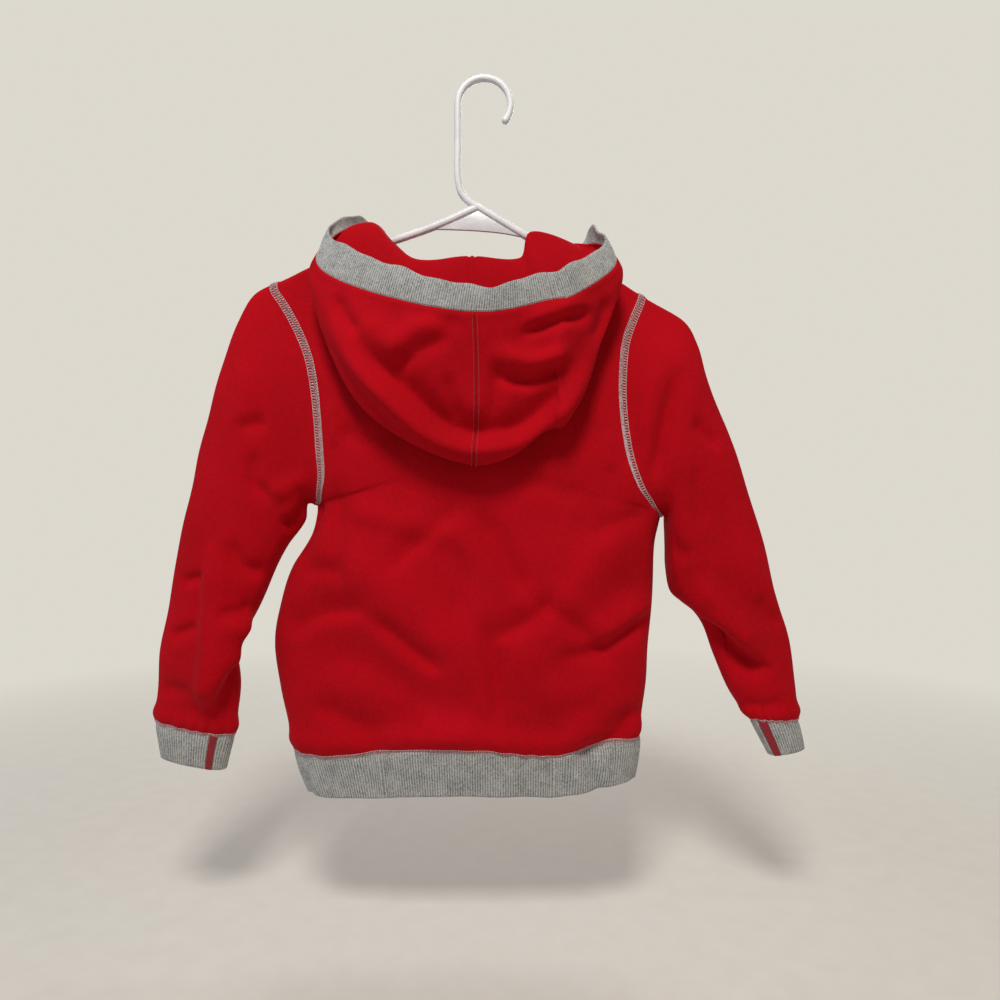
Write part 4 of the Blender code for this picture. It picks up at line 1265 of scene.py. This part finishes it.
    def ribbed(self, name: str) -> Cloth:
        """A cuff or the waistband: a tube of rib whose ribs run from its seam to its open edge."""
        grid, _ = self.coarse[name]
        around = float(lengths_along(np.concatenate([grid, grid[:, :1]], axis=1), 1)[:, -1].mean())
        ribs = int(round(around / self.rib_pitch))
        step = around / (ribs * self.rib_samples)
        plain, normals, _ = self.fine(name, self.rib_row_step, step * 1.0001)
        relief = self.fall.relief(plain, normals)
        down = lengths_along(plain, 0)
        length = down[-1:]
        seam_row = length - down if name == "waistband" else down
        belly, seam = np.sin(math.pi * np.clip(seam_row / length, 0, 1)), hump(seam_row, 2.5)
        relief += 1.1 * belly - 0.8 * seam
        if name == "waistband":
            relief += self.band_folds(plain, normals, seam_row)
        surface = raised(plain, normals, relief)
        return Cloth(name, Slot.RIB, surface, self.rib_thickness, True, ribs, self.rib_height)

    @staticmethod
    def band_folds(plain: Grid, normals: Grid, seam_row: Grid) -> Grid:
        """The waistband's own soft folds, where the blousing pushes it about."""
        back = step_up(0.0, 0.5, -normals[..., 1])
        front = step_up(0.0, 0.5, normals[..., 1])
        x, low = plain[..., 0], seam_row / BAND_HEIGHT
        folds = -4.0 * hump(x - (92 + 14 * low), 6) + 2.6 * hump(x - (74 + 14 * low), 9)
        folds += -2.4 * hump(x + 168 - 6 * low, 5) * step_up(0.2, 0.8, low) + 1.6 * hump(x + 66, 16)
        waves = 0.9 * np.sin(x / 15.0 + 1.3) + 0.6 * np.sin(x / 8.3)
        return back * (folds + waves * low) + front * (1.4 * np.sin(x / 17.0) * low - 2.6 * hump(x + 90, 8))

    def hood_pieces(self) -> list[Cloth]:
        """Both halves of the hood, creased as one so that they meet."""
        at = self.hood_stations(self.hood_step)
        plain = self.hood.grid(self.back, self.front, at, self.hood_rows)
        normals = grid_normals(plain, False)
        level = np.linspace(0, len(HOOD_LEVELS) + 1, len(plain))[:, None]
        seen = step_up(3.9, 4.7, level)
        relief = self.hood_fall.relief(plain, normals) * (0.25 + 0.75 * seen)
        across = lengths_along(plain, 1)
        middle = int(np.argmin(np.abs(at)))
        off_centre = np.abs(across - across[:, middle : middle + 1])
        relief += 0.8 * (1 - step_up(3.2, 4.8, off_centre)) - 1.1 * hump(off_centre, 0.9)
        down = lengths_along(plain, 0)
        up = down[-1:] - down
        relief += 0.5 * hump(up - 3, 3) - 0.5 * hump(up, 1.2)
        halves = {"left": slice(0, middle + 1), "right": slice(middle, None)}
        surface = raised(plain, normals, relief)
        return [
            Cloth(f"hood_{side}", Slot.FLEECE, surface[:, part], self.fleece_thickness)
            for side, part in halves.items()
        ]

    def hood_stations(self, step: float) -> Grid:
        """Stations round the hood that lie about a step apart at its edge, the centre back among them."""
        coarse = np.linspace(-1, 1, 65)
        length = lengths_along(self.hood.level("belly", coarse)[None], 1)[0]
        halves = []
        for low, high in ((0, 33), (32, 65)):
            part = length[low:high]
            count = int(math.ceil((part[-1] - part[0]) / step))
            halves.append(np.interp(np.linspace(part[0], part[-1], count + 1), part, coarse[low:high]))
        return np.concatenate([halves[0], halves[1][1:]])

    def hood_band(self) -> Cloth:
        """The rib band round the hood's opening."""
        coarse = np.linspace(-1, 1, 129)
        edge = self.hood.level("edge", coarse)
        length = lengths_along(edge[None], 1)[0]
        ribs = int(round(length[-1] / self.band_rib_pitch))
        at = np.interp(np.linspace(0, length[-1], ribs * self.rib_samples + 1), length, coarse)
        low, high = self.hood.level("edge", at), self.hood.level("top", at)
        lift = 0.4 / np.linalg.norm(high - low, axis=1, keepdims=True)
        shares = np.linspace(0, 1, 10)[:, None, None]
        start = low * (1 - lift) + high * lift
        plain = start[None] * (1 - shares) + high[None] * shares
        along = lengths_along(plain[:1], 1)[0]
        plain[..., 2] += shares[..., 0] ** 1.5 * (0.9 * np.sin(along / 9.0) + 0.7 * np.sin(along / 5.2 + 1.0))
        normals = grid_normals(plain, False)
        relief = self.hood_fall.relief(plain, normals) + 0.9 * np.sin(math.pi * shares[..., 0])
        surface = raised(plain, normals, relief)
        return Cloth("hood_band", Slot.RIB, surface, self.rib_thickness, False, ribs, self.rib_height * 0.8)

    def tape(self, side: str) -> Cloth:
        """A strip of woven tape down a cuff, over its ribs."""
        cuff, cut = self.pieces[f"cuff_{side}"], self.cuts[side]
        outer = cuff.outer()
        seen = cuff.normals()[0, :, 1] < -0.2
        line = int(np.argmin(np.where(seen, np.abs(outer[0, :, 0] - cut.tape_x), np.inf)))
        step = np.linalg.norm(outer[0, line + 1] - outer[0, line])
        half = int(round(TAPE_WIDTH / 2 / step))
        toward = 1 if outer[0, (line + 5) % outer.shape[1], 0] > outer[0, line, 0] else -1
        middle = line + toward * half
        picked = np.arange(middle - half, middle + half + 1) % outer.shape[1]
        lifted = cuff.middle + cuff.normals() * (self.rib_thickness / 2 + self.rib_height * 0.5 + 0.3)
        return Cloth(f"cuff_tape_{side}", Slot.TAPE, lifted[:, picked], self.tape_thickness)

    def build(self, finishes: dict[Slot, bpy.types.Material]) -> None:
        """Makes every piece of cloth.

        Args:
            finishes: the finish of each slot.
        """
        cloths = [self.body_piece("back"), self.body_piece("front")]
        for side in self.cuts:
            cloths += [self.sleeve_piece(f"sleeve_{side}"), self.ribbed(f"cuff_{side}")]
        cloths += [self.ribbed("waistband"), *self.hood_pieces(), self.hood_band()]
        self.pieces = {cloth.node: cloth for cloth in cloths}
        for side in self.cuts:
            self.pieces[f"cuff_tape_{side}"] = self.tape(side)
        made = {node: cloth.build(finishes) for node, cloth in self.pieces.items()}


# Stitches


@dataclass
class Stitching:
    """Thread sewn along seams, all of one colour, gathered into one piece."""

    name: str
    material: bpy.types.Material
    radius: float = 0.42
    sides: int = 5
    points: list[Grid] = field(default_factory=list)
    faces: list[Grid] = field(default_factory=list)
    count: int = 0

    def strand(self, path: Grid, up: Grid, radius: float | None = None) -> None:
        """Adds one length of thread.

        Args:
            path: its points.
            up: the cloth's normal at each.
            radius: its radius, where it isn't the usual one.
        """
        radius = radius or self.radius
        heading = unit(np.gradient(path, axis=0))
        side = unit(np.cross(heading, up))
        rise = np.cross(side, heading)
        turn = np.arange(self.sides) * math.tau / self.sides
        ring = np.cos(turn)[None, :, None] * rise[:, None] + np.sin(turn)[None, :, None] * side[:, None]
        wall = (path[:, None] + radius * ring).reshape(-1, 3)
        blunt = heading * radius * TIP_SHARE
        ends = np.stack([path[0] - blunt[0], path[-1] + blunt[-1]])
        number = np.arange(self.sides)
        after = (number + 1) % self.sides
        rows = np.arange(len(path) - 1)[:, None] * self.sides
        below = rows + self.sides
        quads = np.stack([rows + number, below + number, below + after, rows + after], -1)
        last = (len(path) - 1) * self.sides
        start, end = len(wall), len(wall) + 1
        caps = np.concatenate([
            np.stack([number * 0 + start, number, after, number * 0 + start], -1),
            np.stack([number * 0 + end, last + after, last + number, number * 0 + end], -1),
        ])
        self.points.append(np.concatenate([wall, ends]))
        self.faces.append(np.concatenate([quads.reshape(-1, 4), caps]) + self.count)
        self.count += len(wall) + 2

    def running(self, path: Grid, up: Grid, pitch: float, gap: float = 0.25, rise: float = 0.35) -> None:
        """Adds a line of separate stitches that dip into the cloth at both ends."""
        count = max(int(round(lengths_along(path[None], 1)[0, -1] / pitch)), 1)
        share = np.array([gap / 2, 0.3, 0.5, 0.7, 1 - gap / 2])
        lift = np.array([-0.35, 0.8, 1.0, 0.8, -0.35]) * rise
        for number in range(count):
            line, normal = run_along(path, up, (number + share) / count)
            self.strand(line + normal * lift[:, None], normal)

    def ladder(self, first: Line, ridge: Line, second: Line, pitch: float) -> None:
        """Adds two lines of stitches with threads laid across between them, there and back.

        Args:
            first: points and normals of one line.
            ridge: points and normals of the seam between them.
            second: points and normals of the other line.
            pitch: length of a stitch.
        """
        for line in (first, second):
            self.running(*line, pitch)
        count = max(int(round(lengths_along(ridge[0][None], 1)[0, -1] / pitch)), 1)
        here = (np.arange(count) + 0.1) / count
        there = (np.arange(count) + 0.55) / count
        low, low_up = run_along(*first, here)
        high, high_up = run_along(*second, there)
        middle, middle_up = run_along(*ridge, (here + there) / 2)
        back, back_up = run_along(*first, np.minimum(here + 0.95 / count, 1))
        mid_back, mid_back_up = run_along(*ridge, np.minimum(there + 0.2 / count, 1))
        paths = np.stack([(low, middle, high), (high, mid_back, back)])
        ups = np.stack([(low_up, middle_up, high_up), (high_up, mid_back_up, back_up)])
        paths = paths + ups * np.array([0.3, 0.45, 0.3])[:, None, None]
        at = np.linspace(0, 2, 5)
        for number in range(count):
            for path, up in zip(paths[:, :, number], ups[:, :, number]):
                self.strand(through(path, at), unit(through(up, at)), self.radius * 0.8)

    def build(self) -> None:
        """Makes the piece."""
        faces = [face if face[0] != face[3] else face[:3] for face in np.concatenate(self.faces).tolist()]
        new_piece(smooth_mesh(self.name, self.points, faces), self.material)


def run_along(path: Grid, up: Grid, shares: Grid) -> Line:
    """Points and normals at shares of a line's length."""
    length = lengths_along(path[None], 1)[0]
    at = np.interp(shares * length[-1], length, np.arange(len(path)))
    first = np.minimum(at.astype(int), len(path) - 2)
    part = (at - first)[:, None]
    point = path[first] * (1 - part) + path[first + 1] * part
    return point, unit(up[first] * (1 - part) + up[first + 1] * part)


@dataclass
class SeamLines:
    """Lines on the outer face of a piece of cloth, at set distances from its seams."""

    cloth: Cloth
    reach: int = 14  # how many rows or points in from a seam a line can lie

    def __post_init__(self) -> None:
        """Reads the outer face once, without its ribs."""
        plain = Cloth(**{**vars(self.cloth), "ribs": 0})
        self.face = plain.outer()
        self.up = plain.normals()

    def inset(self, lines: Grid, normals: Grid, distance: float) -> Line:
        """The point of each line that lies this far from its start.

        Args:
            lines: lines of points that start at the seam.
            normals: normals along them.
            distance: how far in.

        Returns:
            Points and normals.
        """
        length = lengths_along(lines, 1)
        points, ups = [], []
        for line, normal, run in zip(lines, normals, length):
            at = np.interp(distance, run, np.arange(len(run)))
            first = min(int(at), len(run) - 2)
            part = at - first
            points.append(line[first] * (1 - part) + line[first + 1] * part)
            ups.append(normal[first] * (1 - part) + normal[first + 1] * part)
        return np.array(points), unit(np.array(ups))

    def row(self, last: bool, distance: float) -> Line:
        """A line along the first or the last row, closed where the piece is."""
        order = slice(None, None, -1 if last else 1)
        near = [grid[order][: self.reach].transpose(1, 0, 2) for grid in (self.face, self.up)]
        points, ups = self.inset(*near, distance)
        if self.cloth.closed:
            points, ups = np.concatenate([points, points[:1]]), np.concatenate([ups, ups[:1]])
        return points, ups

    def side(self, right: bool, rows: slice, distance: float) -> Line:
        """A line up the left or the right edge, over some of the rows."""
        order = slice(None, None, -1 if right else 1)
        return self.inset(*(grid[rows, order][:, : self.reach] for grid in (self.face, self.up)), distance)


@dataclass
class Needlework:
    """Every visible line of thread on the garment."""

    garment: Garment
    pale: bpy.types.Material
    tonal: bpy.types.Material
    flat_pitch: float = 2.6
    hem_pitch: float = 2.4
    fine_radius: float = 0.34
    tonal_radius: float = 0.36

    def armhole(self, work: Stitching, side: str) -> None:
        """The flat-locked ladder round one armhole."""
        garment = self.garment
        sleeve = SeamLines(garment.pieces[f"sleeve_{side}"])
        ring, ring_up = sleeve.row(False, garment.seam_half - 0.4)
        edge, edge_up = sleeve.row(False, 0.0)
        facing_back = edge[:-1, 1] < 0
        for name, picked in (("back", facing_back), ("front", ~facing_back)):
            body = SeamLines(garment.pieces[name])
            coarse, _ = garment.coarse[name]
            rows_at = even_places(coarse, 0, garment.body_step)
            first = int(np.searchsorted(rows_at, SIDE_CUTS))
            is_right = (side == "right") == (name == "back")
            near = body.side(is_right, slice(first, None), garment.seam_half - 0.4)
            order = self.in_order(edge, picked)[1:-1]
            ridge, far = (edge[order], edge_up[order]), (ring[order], ring_up[order])
            work.ladder((near[0][1:-1], near[1][1:-1]), ridge, far, self.flat_pitch)

    @staticmethod
    def in_order(edge: Grid, picked: Grid) -> Grid:
        """The picked points of a ring as one run from the underarm to the shoulder."""
        start = next(k for k in range(len(picked)) if picked[k] and not picked[k - 1])
        turned = (start + np.arange(len(picked))) % len(picked)
        run = turned[picked[turned]]
        return run if edge[run[0], 2] < edge[run[-1], 2] else run[::-1]

    def build(self) -> None:
        """Sews every line."""
        garment = self.garment
        lines = {node: SeamLines(garment.pieces[node]) for node in CUTS}
        for side in garment.cuts:
            work = Stitching(f"armhole_ladder_{side}", self.pale)
            self.armhole(work, side)
            work.build()
            work = Stitching(f"cuff_stitch_{side}", self.pale, self.fine_radius)
            sleeve, cuff = lines[f"sleeve_{side}"], lines[f"cuff_{side}"]
            work.ladder(sleeve.row(True, 2.2), sleeve.row(True, 0.4), sleeve.row(True, 0.2), self.hem_pitch)
            work.running(*cuff.row(False, 1.6), self.hem_pitch)
            work.build()
        work = Stitching("hem_stitch", self.pale, self.fine_radius)
        for hem in (lines["back"], lines["front"]):
            work.ladder(hem.row(False, 3.0), hem.row(False, 1.4), hem.row(False, 0.2), self.hem_pitch)
        work.running(*lines["waistband"].row(True, 1.6), self.hem_pitch)
        work.build()
        work = Stitching("hood_band_stitch", self.pale, self.fine_radius)
        work.running(*lines["hood_band"].row(False, 1.2), self.hem_pitch, gap=0.15)
        work.build()
        work = Stitching("hood_centre_stitch", self.tonal, self.tonal_radius)
        for half, right in ((lines["hood_left"], True), (lines["hood_right"], False)):
            rows = len(half.face)
            seen = slice(int(rows * 0.6), rows - 1)
            work.running(*half.side(right, seen, 2.6), self.hem_pitch, gap=0.2, rise=0.3)
        work.build()


# Hanger


@dataclass
class Hanger:
    """A one-piece moulded hanger: hook and shank, arms with a web at the neck, bottom bar and strap pegs."""

    hook_radius: float = 3.2
    arm_radius: float = 3.5
    depth_radius: float = 3.7
    squareness: float = 2.7  # 2 is a round rod, and a higher one is squarer
    sides: int = 20
    web_thickness: float = 3.2
    peg: Row = (2.4, 3.4, 17.0, 4.4)  # half its width above and below, its height and its thickness
    peg_places: tuple[float, float] = (-97.0, 100.0)
    points: list[Grid] = field(default_factory=list)
    faces: list[list[int]] = field(default_factory=list)

    def rod(self, path: Grid, in_plane: Grid, closed: bool) -> None:
        """Adds a rod with a softly squared section along a path in the hanger's plane.

        Args:
            path: x, z of its middle.
            in_plane: its radius in that plane at each point.
            closed: whether it is a ring.
        """
        middle = point_rows(path[:, 0], 0.0, path[:, 1])
        if closed:
            heading = unit(np.roll(middle, -1, axis=0) - np.roll(middle, 1, axis=0))
        else:
            heading = unit(np.gradient(middle, axis=0))
        out = unit(np.cross(heading, (0.0, 1.0, 0.0)))
        turn = np.arange(self.sides) * math.tau / self.sides
        power = self.squareness
        square = (np.abs(np.cos(turn)) ** power + np.abs(np.sin(turn)) ** power) ** (-1 / power)
        ring = (np.cos(turn) * square)[None, :, None] * out[:, None] * in_plane[:, None, None]
        ring = ring + (np.sin(turn) * square)[None, :, None] * np.array((0.0, self.depth_radius, 0.0))
        start = sum(len(part) for part in self.points)
        wall = (middle[:, None] + ring).reshape(-1, 3)
        count = len(middle)
        for row in range(count if closed else count - 1):
            here, after = start + row * self.sides, start + (row + 1) % count * self.sides
            for number in range(self.sides):
                beside = (number + 1) % self.sides
                self.faces.append([here + number, here + beside, after + beside, after + number])
        if closed:
            self.points.append(wall)
            return
        blunt = heading * in_plane[:, None] * TIP_SHARE
        self.points.append(np.concatenate([wall, [middle[0] - blunt[0], middle[-1] + blunt[-1]]]))
        last = start + (count - 1) * self.sides
        for number in range(self.sides):
            beside = (number + 1) % self.sides
            self.faces.append([start + beside, start + number, start + len(wall)])
            self.faces.append([last + number, last + beside, start + len(wall) + 1])

    def hook(self) -> None:
        """The hook, its thickened tip and the shank."""
        centre = TUBE - HOOK_ARC
        turn = np.radians(np.linspace(-42, 180, 60))
        arc = np.stack([HOOK_ARC * np.cos(turn), centre + HOOK_ARC * np.sin(turn)], axis=1)
        shank = spread(SHANK, 50)[2:]
        path = np.concatenate([arc, shank])
        radius = np.full(len(path), self.hook_radius)
        radius[:5] += np.array([-0.6, 0.1, 0.4, 0.3, 0.1])
        radius += 0.5 * hump(np.linalg.norm(path - path[-1], axis=1), 12)
        self.rod(path, radius, False)

    def loop(self) -> None:
        """Arms, rounded tips and bottom bar, as one ring."""
        left = spread(ARM_LEFT + TIP_LEFT, 110)
        right = spread(ARM_RIGHT + TIP_RIGHT, 110)
        path = np.concatenate([left[::-1], right[1:]])
        bar = path[-1] + (path[0] - path[-1]) * np.linspace(0, 1, 30)[1:-1, None]
        path = np.concatenate([path, bar])
        self.rod(path, np.full(len(path), self.arm_radius), True)

    def plate(self, outline: Sequence[Row], thickness: float, bevel: float) -> None:
        """Adds a flat plate with rounded edges.

        Args:
            outline: x, z of its corners.
            thickness: its thickness.
            bevel: how far its edges are rounded.
        """
        work = bmesh.new()
        corners = [work.verts.new((x, -thickness / 2, z)) for x, z in outline]
        base = work.faces.new(corners)
        raised = bmesh.ops.extrude_face_region(work, geom=[base])
        moved = [item for item in raised["geom"] if isinstance(item, bmesh.types.BMVert)]
        bmesh.ops.translate(work, verts=moved, vec=(0, thickness, 0))
        bmesh.ops.recalc_face_normals(work, faces=work.faces)
        bmesh.ops.bevel(work, geom=work.edges[:], offset=bevel, segments=2, affect="EDGES", profile=0.5)
        start = sum(len(part) for part in self.points)
        work.verts.index_update()
        self.points.append(np.array([tuple(vertex.co) for vertex in work.verts]))
        self.faces.extend([start + vertex.index for vertex in face.verts] for face in work.faces)
        work.free()

    def web(self) -> None:
        """The filled corner under the neck, with an arched lower edge."""
        low = spread(((44.0, -148.6), (20.0, -143.6), (-5.0, -141.0), (-30.0, -139.8), (-50.0, -139.4)), 16)
        outline = [(-6.0, -119.0), *[tuple(point) for point in low]]
        self.plate(outline, self.web_thickness, 0.5)

    def build(self, material: bpy.types.Material) -> None:
        """Makes the hanger as one piece."""
        self.hook()
        self.loop()
        self.web()
        above, below, height, thickness = self.peg
        for x in self.peg_places:
            z = arm_height(x)
            foot = z - height
            self.plate(((x - above, z), (x + above, z), (x + below, foot), (x - below, foot)), thickness, 0.8)
        piece = new_piece(smooth_mesh("hanger_moulding", self.points, self.faces), material)
        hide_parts("hanger")


# Studio


@dataclass(frozen=True)
class Studio:
    """Camera, soft lights, a pale world and a pale floor."""

    eye: Row = (0.015, -0.709, -0.395)
    lens: float = 27.0
    wall: Row = (0.72, 0.69, 0.62)
    ambient: float = 0.30
    floor_z: float = -0.80
    floor_reach: float = 1.5
    floor_tones: tuple[Row, Row] = ((0.66, 0.63, 0.57), (0.69, 0.66, 0.60))

    def camera(self) -> None:
        """A level camera, square to the garment."""
        data = bpy.data.cameras.new("camera")
        data.lens, data.sensor_width = self.lens, 36.0
        made = placed("camera", data, self.eye)
        made.rotation_euler = (math.pi / 2, 0, 0)
        bpy.context.scene.camera = made

    def light(self, name: str, place: Row, target: Row, size: float, power: float, colour: Row) -> None:
        """One soft area light, turned to its target.

        Args:
            name: its name.
            place: where it stands.
            target: what it faces.
            size: its side.
            power: its power in watts.
            colour: its colour.
        """
        data = bpy.data.lights.new(name, "AREA")
        data.shape, data.size, data.energy, data.color = "SQUARE", size, power, colour
        toward = Vector(target) - Vector(place)
        placed(name, data, place).rotation_euler = toward.to_track_quat("-Z", "Y").to_euler()

    def world(self) -> None:
        """A pale surround that the camera sees brighter than it lights."""
        world = bpy.data.worlds.new("surround")
        bpy.context.scene.world = world
        world.use_nodes = True
        tree = world.node_tree
        seen = tree.nodes["Background"]
        seen.inputs["Color"].default_value = (*self.wall, 1.0)
        lit = tree.nodes.new("ShaderNodeBackground")
        lit.inputs["Color"].default_value = (0.72, 0.72, 0.72, 1.0)
        lit.inputs["Strength"].default_value = self.ambient
        ray, mix = tree.nodes.new("ShaderNodeLightPath"), tree.nodes.new("ShaderNodeMixShader")
        tree.links.new(ray.outputs["Is Camera Ray"], mix.inputs[0])
        tree.links.new(lit.outputs[0], mix.inputs[1])
        tree.links.new(seen.outputs[0], mix.inputs[2])
        tree.links.new(mix.outputs[0], tree.nodes["World Output"].inputs[0])

    def floor(self) -> None:
        """A pale floor that fades out at its rim."""
        reach = self.floor_reach
        mesh = bpy.data.meshes.new("floor")
        corners = [(-reach, -reach, 0), (reach, -reach, 0), (reach, reach, 0), (-reach, reach, 0)]
        mesh.from_pydata(corners, [], [(0, 1, 2, 3)])
        shader = Shader("floor_paint")
        place = shader.place()
        far = shader.node("ShaderNodeVectorMath", {"operation": "LENGTH"}, {0: place}, out="Value")
        grain = shader.noise(place, 40.0, 3.0)
        colour = shader.blend(shader.within(grain, (0.0, 1.0)), *self.floor_tones)
        material = shader.finish(colour, shader.within(grain, (0.8, 0.9)), grain, 0.0002, {})
        shader.feed(shader.surface.inputs["Alpha"], shader.levels(far, reach * 0.35, reach * 0.95, 1.0, 0.0))
        mesh.materials.append(material)
        placed("floor", mesh, (0, 0, self.floor_z))

    def build(self) -> None:
        """Sets up everything round the object."""
        bpy.context.scene.view_settings.view_transform = "Standard"
        self.camera()
        self.world()
        self.floor()
        centre = (0.0, 0.0, -0.4)
        self.light("key", (-0.12, -1.12, 1.0), (0.0, 0.0, -0.36), 0.42, 21.0, (1.0, 0.96, 0.92))
        self.light("cool_side", (-1.5, -0.7, -0.1), centre, 1.0, 5.0, (0.72, 0.80, 1.0))
        self.light("warm_side", (1.4, -0.9, -0.2), centre, 1.0, 2.5, (1.0, 0.84, 0.68))
        self.light("behind", (0.2, 1.3, 0.6), centre, 1.2, 16.0, (1.0, 0.98, 0.95))


def main() -> None:
    """Builds the garment, its thread, the hanger and the studio."""
    logging.basicConfig(level=logging.INFO, format="%(message)s")
    finishes = {
        Slot.FLEECE: Fleece().material(),
        Slot.RIB: Rib().material(),
        Slot.TAPE: Tape().material(),
        Slot.PLASTIC: Moulded().material(),
    }
    Hanger().build(finishes[Slot.PLASTIC])
    garment = Garment()
    garment.build(finishes)
    tonal = Thread("tonal_thread", (0.20, 0.002, 0.006), (0.46, 0.008, 0.02)).material()
    Needlework(garment, Thread().material(), tonal).build()
    Studio().build()


if __name__ == "__main__":
    main()
